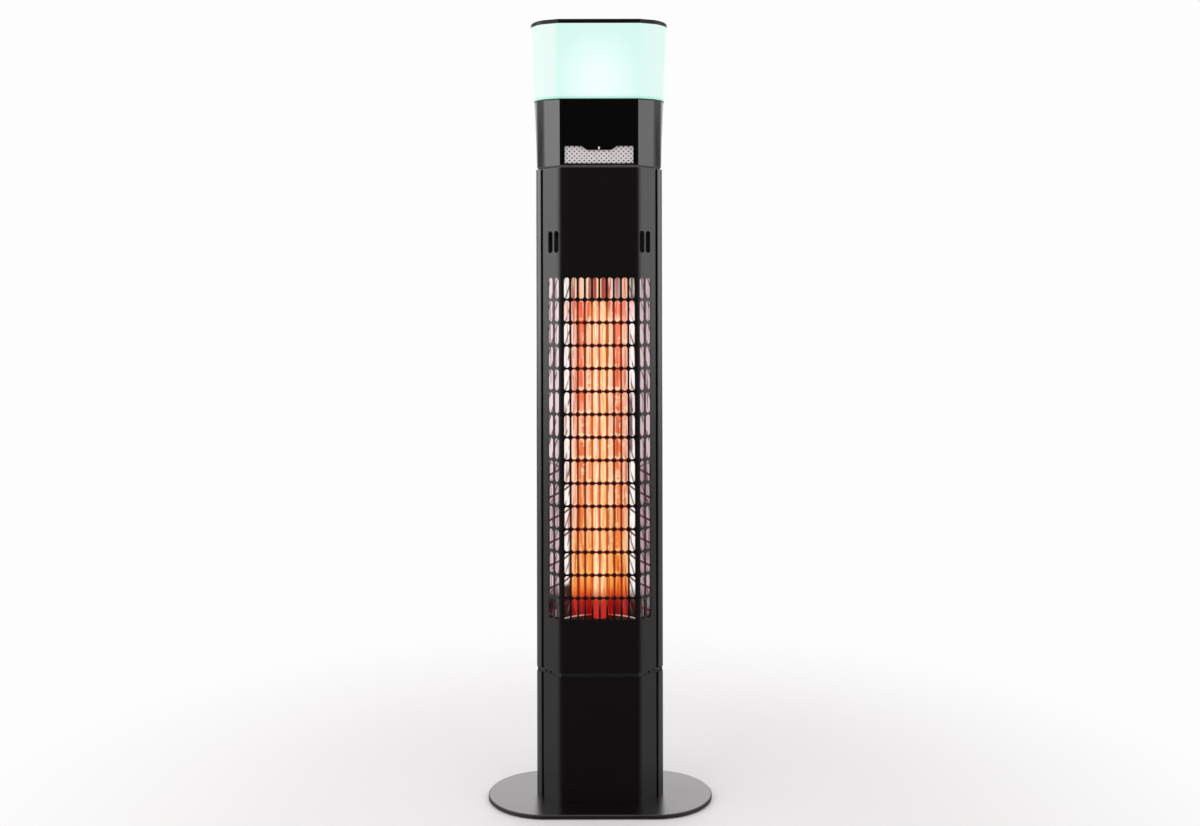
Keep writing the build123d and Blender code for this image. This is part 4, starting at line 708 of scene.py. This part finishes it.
sheet_wall = lattice.modifiers.new("sheet", "SOLIDIFY")
sheet_wall.thickness = mesh_high.y - mesh_low.y - ridge
sheet_wall.offset = 0
apply_all(lattice)
lattice.rotation_euler = (radians(90), 0, 0)
lattice.location = (mesh_low + mesh_high) / 2
mesh_silver = surface("mesh_silver", (0.52, 0.48, 0.48), (0.82, 0.78, 0.78), 0.0006, (0.35, 0.45), 0.05)
close_shape(lattice, "speaker_grille", mesh_silver, "tower", "mesh_silver", "speaker_mesh")

# ---------------------------------------------------------------------- push buttons
# Four silicone-rubber buttons press onto switches behind a moulded bezel on the back of the head.
# They are cast in one colour, a little lighter than the bezel and duller.
button_rubber = surface("button_rubber", (0.016, 0.016, 0.017), (0.032, 0.032, 0.034), 0.0004, (0.55, 0.7),
                        0.2)
dress(button_rubber, "button_1", "button_2", "button_3", "button_4")

# ---------------------------------------------------------------------- lamp
# The shade is a translucent opal moulding lit from below by a board of white and coloured LEDs.
# It stands in a thin black tray on a soft seal, and a solid black cap closes it.
cap_plastic = surface("cap_black", (0.003, 0.003, 0.0028), (0.006, 0.006, 0.0055), 0.0003, (0.28, 0.34), 0.06,
                      ior=1.38)
# The seal's teal is painted mint light from the glowing shade just above it.
seal_rubber = surface("seal_rubber", (0.01, 0.05, 0.045), (0.015, 0.075, 0.065), 0.0005, (0.6, 0.8), 0.1)
tray_plastic = surface("tray_white", (0.7, 0.71, 0.7), (0.8, 0.81, 0.8), 0.0005, (0.4, 0.55), 0.08)
led, _, _ = blank("led_white", {
    "Base Color": (0.9, 0.9, 0.85, 1), "Emission Color": (0.75, 1.0, 0.92, 1), "Emission Strength": 2.0})
dress(cap_plastic, "top_cap", "lamp_tray")
dress(seal_rubber, "shade_seal")
dress(tray_plastic, "led_board")
dress(led, "leds")

# The shade glows mint, nearly white in a round patch low in its middle. Its chamfers carry painted side
# light, paler on the left than on the right, and a painted darker line runs along its foot.
patch_height, patch_half_width, patch_half_height, patch_end = 0.024, 0.05, 0.06, 3.2
facet_range, foot_line_height = (0.058, 0.064), 0.005
opal, tree, _ = blank("shade_opal", {
    "Base Color": (0.05, 0.065, 0.06, 1), "Specular IOR Level": 0.2, "Roughness": 0.5})
x, _, z = axes(tree)
shade_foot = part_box("lamp_shade")[0].z
across = sums(tree, "DIVIDE", x, patch_half_width)
up = sums(tree, "DIVIDE", sums(tree, "SUBTRACT", z, shade_foot + patch_height), patch_half_height)
spread = sums(tree, "ADD", product(tree, across, across), product(tree, up, up))
mint = ramp(tree, sums(tree, "DIVIDE", spread, patch_end), [
    (0.0, (0.89, 1.0, 0.99)), (0.08, (0.83, 0.995, 0.975)), (0.26, (0.745, 0.98, 0.93)),
    (0.45, (0.69, 0.955, 0.88)), (1.0, (0.67, 0.93, 0.85))])
left_facet_light = rise(tree, product(tree, x, -1.0), *facet_range)
right_facet_light = rise(tree, x, *facet_range)
mint = layer(tree, mint, (0.84, 0.95, 0.92), left_facet_light, 0.8)
mint = layer(tree, mint, (0.75, 0.93, 0.88), right_facet_light, 0.8)
mint = layer(tree, mint, (0.4, 0.8, 0.68), fall(tree, z, shade_foot, shade_foot + foot_line_height))
glow(opal, mint, 0.94)
dress(opal, "lamp_shade")

# ---------------------------------------------------------------------- floor, light and camera
# A plain pale floor and a white surround, with a large soft lamp at each side, one overhead and one
# behind. In reflections the floor and the surround are dim in front, as the dark half of a studio is.


def shaders_mixed(tree, factor, first, second):
    """Two shaders mixed by a factor."""
    node = tree.nodes.new("ShaderNodeMixShader")
    tree.links.new(factor, node.inputs["Fac"])
    tree.links.new(first, node.inputs[1])
    tree.links.new(second, node.inputs[2])
    return node.outputs["Shader"]


def plain(tree, kind, colour, strength=1.0):
    """Plain emission or background of one colour."""
    node = tree.nodes.new(kind)
    settle(node, {"Color": (*colour, 1), "Strength": strength})
    return node


front_range = (-0.88, -0.42)
start_shape()
bpy.ops.mesh.primitive_plane_add(size=12, location=(0, 0, 0))
floor = bpy.context.object
floor.name = "studio_floor"
floor_paint, tree, floor_shader = blank("floor_paint", {
    "Base Color": (0.80, 0.777, 0.785, 1), "Roughness": 0.6, "Specular IOR Level": 0.08})
_, y, _ = axes(tree)
away = tree.nodes.new("ShaderNodeVectorMath")
away.operation = "LENGTH"
tree.links.new(place_on(tree), away.inputs[0])
distance = away.outputs["Value"]
ray = tree.nodes.new("ShaderNodeLightPath")
far_and_seen = product(tree, rise(tree, distance, 0.35, 1.0), ray.outputs["Is Camera Ray"])
backdrop = plain(tree, "ShaderNodeEmission", (0.99, 0.985, 0.985))
open_floor = shaders_mixed(tree, far_and_seen, floor_shader.outputs["BSDF"], backdrop.outputs["Emission"])
front = fall(tree, sums(tree, "DIVIDE", y, distance), *front_range)
dimming = product(tree, sums(tree, "MULTIPLY_ADD", front, 0.5, 0.5), ray.outputs["Is Glossy Ray"])
dim = plain(tree, "ShaderNodeEmission", (0.02, 0.02, 0.02))
shown_floor = shaders_mixed(tree, dimming, open_floor, dim.outputs["Emission"])
tree.links.new(shown_floor, tree.nodes["Material Output"].inputs["Surface"])
floor.data.materials.append(floor_paint)

world = bpy.data.worlds.new("studio")
bpy.context.scene.world = world
world.use_nodes = True
tree = world.node_tree
ray = tree.nodes.new("ShaderNodeLightPath")
heading = tree.nodes.new("ShaderNodeTexCoord")
split = tree.nodes.new("ShaderNodeSeparateXYZ")
tree.links.new(heading.outputs["Generated"], split.inputs["Vector"])
back = split.outputs["Y"]
side_light, back_light, extra_behind, ambient_light = 0.46, 0.52, 0.45, 0.74
beside = product(tree, rise(tree, back, *front_range), fall(tree, back, 0.1, 0.45), side_light)
behind = product(tree, sums(tree, "MULTIPLY_ADD", rise(tree, back, 0.75, 0.96), extra_behind, back_light),
                 rise(tree, back, -0.88, 0.2))
mirrored = plain(tree, "ShaderNodeBackground", (1, 1, 1))
tree.links.new(sums(tree, "ADD", beside, behind), mirrored.inputs["Strength"])
ambient = plain(tree, "ShaderNodeBackground", (1, 1, 1), ambient_light)
seen = plain(tree, "ShaderNodeBackground", (0.985, 0.985, 0.985))
unseen = shaders_mixed(tree, ray.outputs["Is Glossy Ray"], ambient.outputs["Background"],
                       mirrored.outputs["Background"])
looked_at = sums(tree, "MAXIMUM", ray.outputs["Is Camera Ray"], ray.outputs["Is Transmission Ray"])
surround = shaders_mixed(tree, looked_at, unseen, seen.outputs["Background"])
tree.links.new(surround, tree.nodes["World Output"].inputs["Surface"])


def soft_lamp(name, place, aim, size, power):
    """Large rectangular soft box that points at a place on the heater."""
    light = bpy.data.lights.new(name, "AREA")
    light.shape = "RECTANGLE"
    light.size, light.size_y = size
    light.energy = power
    lamp = bpy.data.objects.new(name, light)
    bpy.context.collection.objects.link(lamp)
    lamp.location = place
    lamp.rotation_euler = (Vector(aim) - Vector(place)).to_track_quat("-Z", "Y").to_euler()
    lamp.visible_camera = False


for side, name, power in ((-1, "left_soft_box", 29), (1, "right_soft_box", 16.5)):
    soft_lamp(name, (side * 2.14, -0.865, 1.3), (0, 0, 0.75), (3.3, 1.8), power)
soft_lamp("top_soft_box", (0, 0.4, 2.9), (0, 0, 0.2), (2.2, 2.2), 5)
soft_lamp("back_soft_box", (0, 2.6, 1.05), (0, 0, 0.1), (3.4, 1.4), 20)

camera = bpy.data.cameras.new("photo_camera")
camera.sensor_width = 36
camera.lens = 38.25
camera.shift_y = -0.0942
viewer = bpy.data.objects.new("photo_camera", camera)
bpy.context.collection.objects.link(viewer)
viewer.location = (0.001, -1.823, 0.7093)
viewer.rotation_euler = (radians(90), radians(0.11), 0)
bpy.context.scene.camera = viewer
bpy.context.scene.view_settings.view_transform = "Standard"
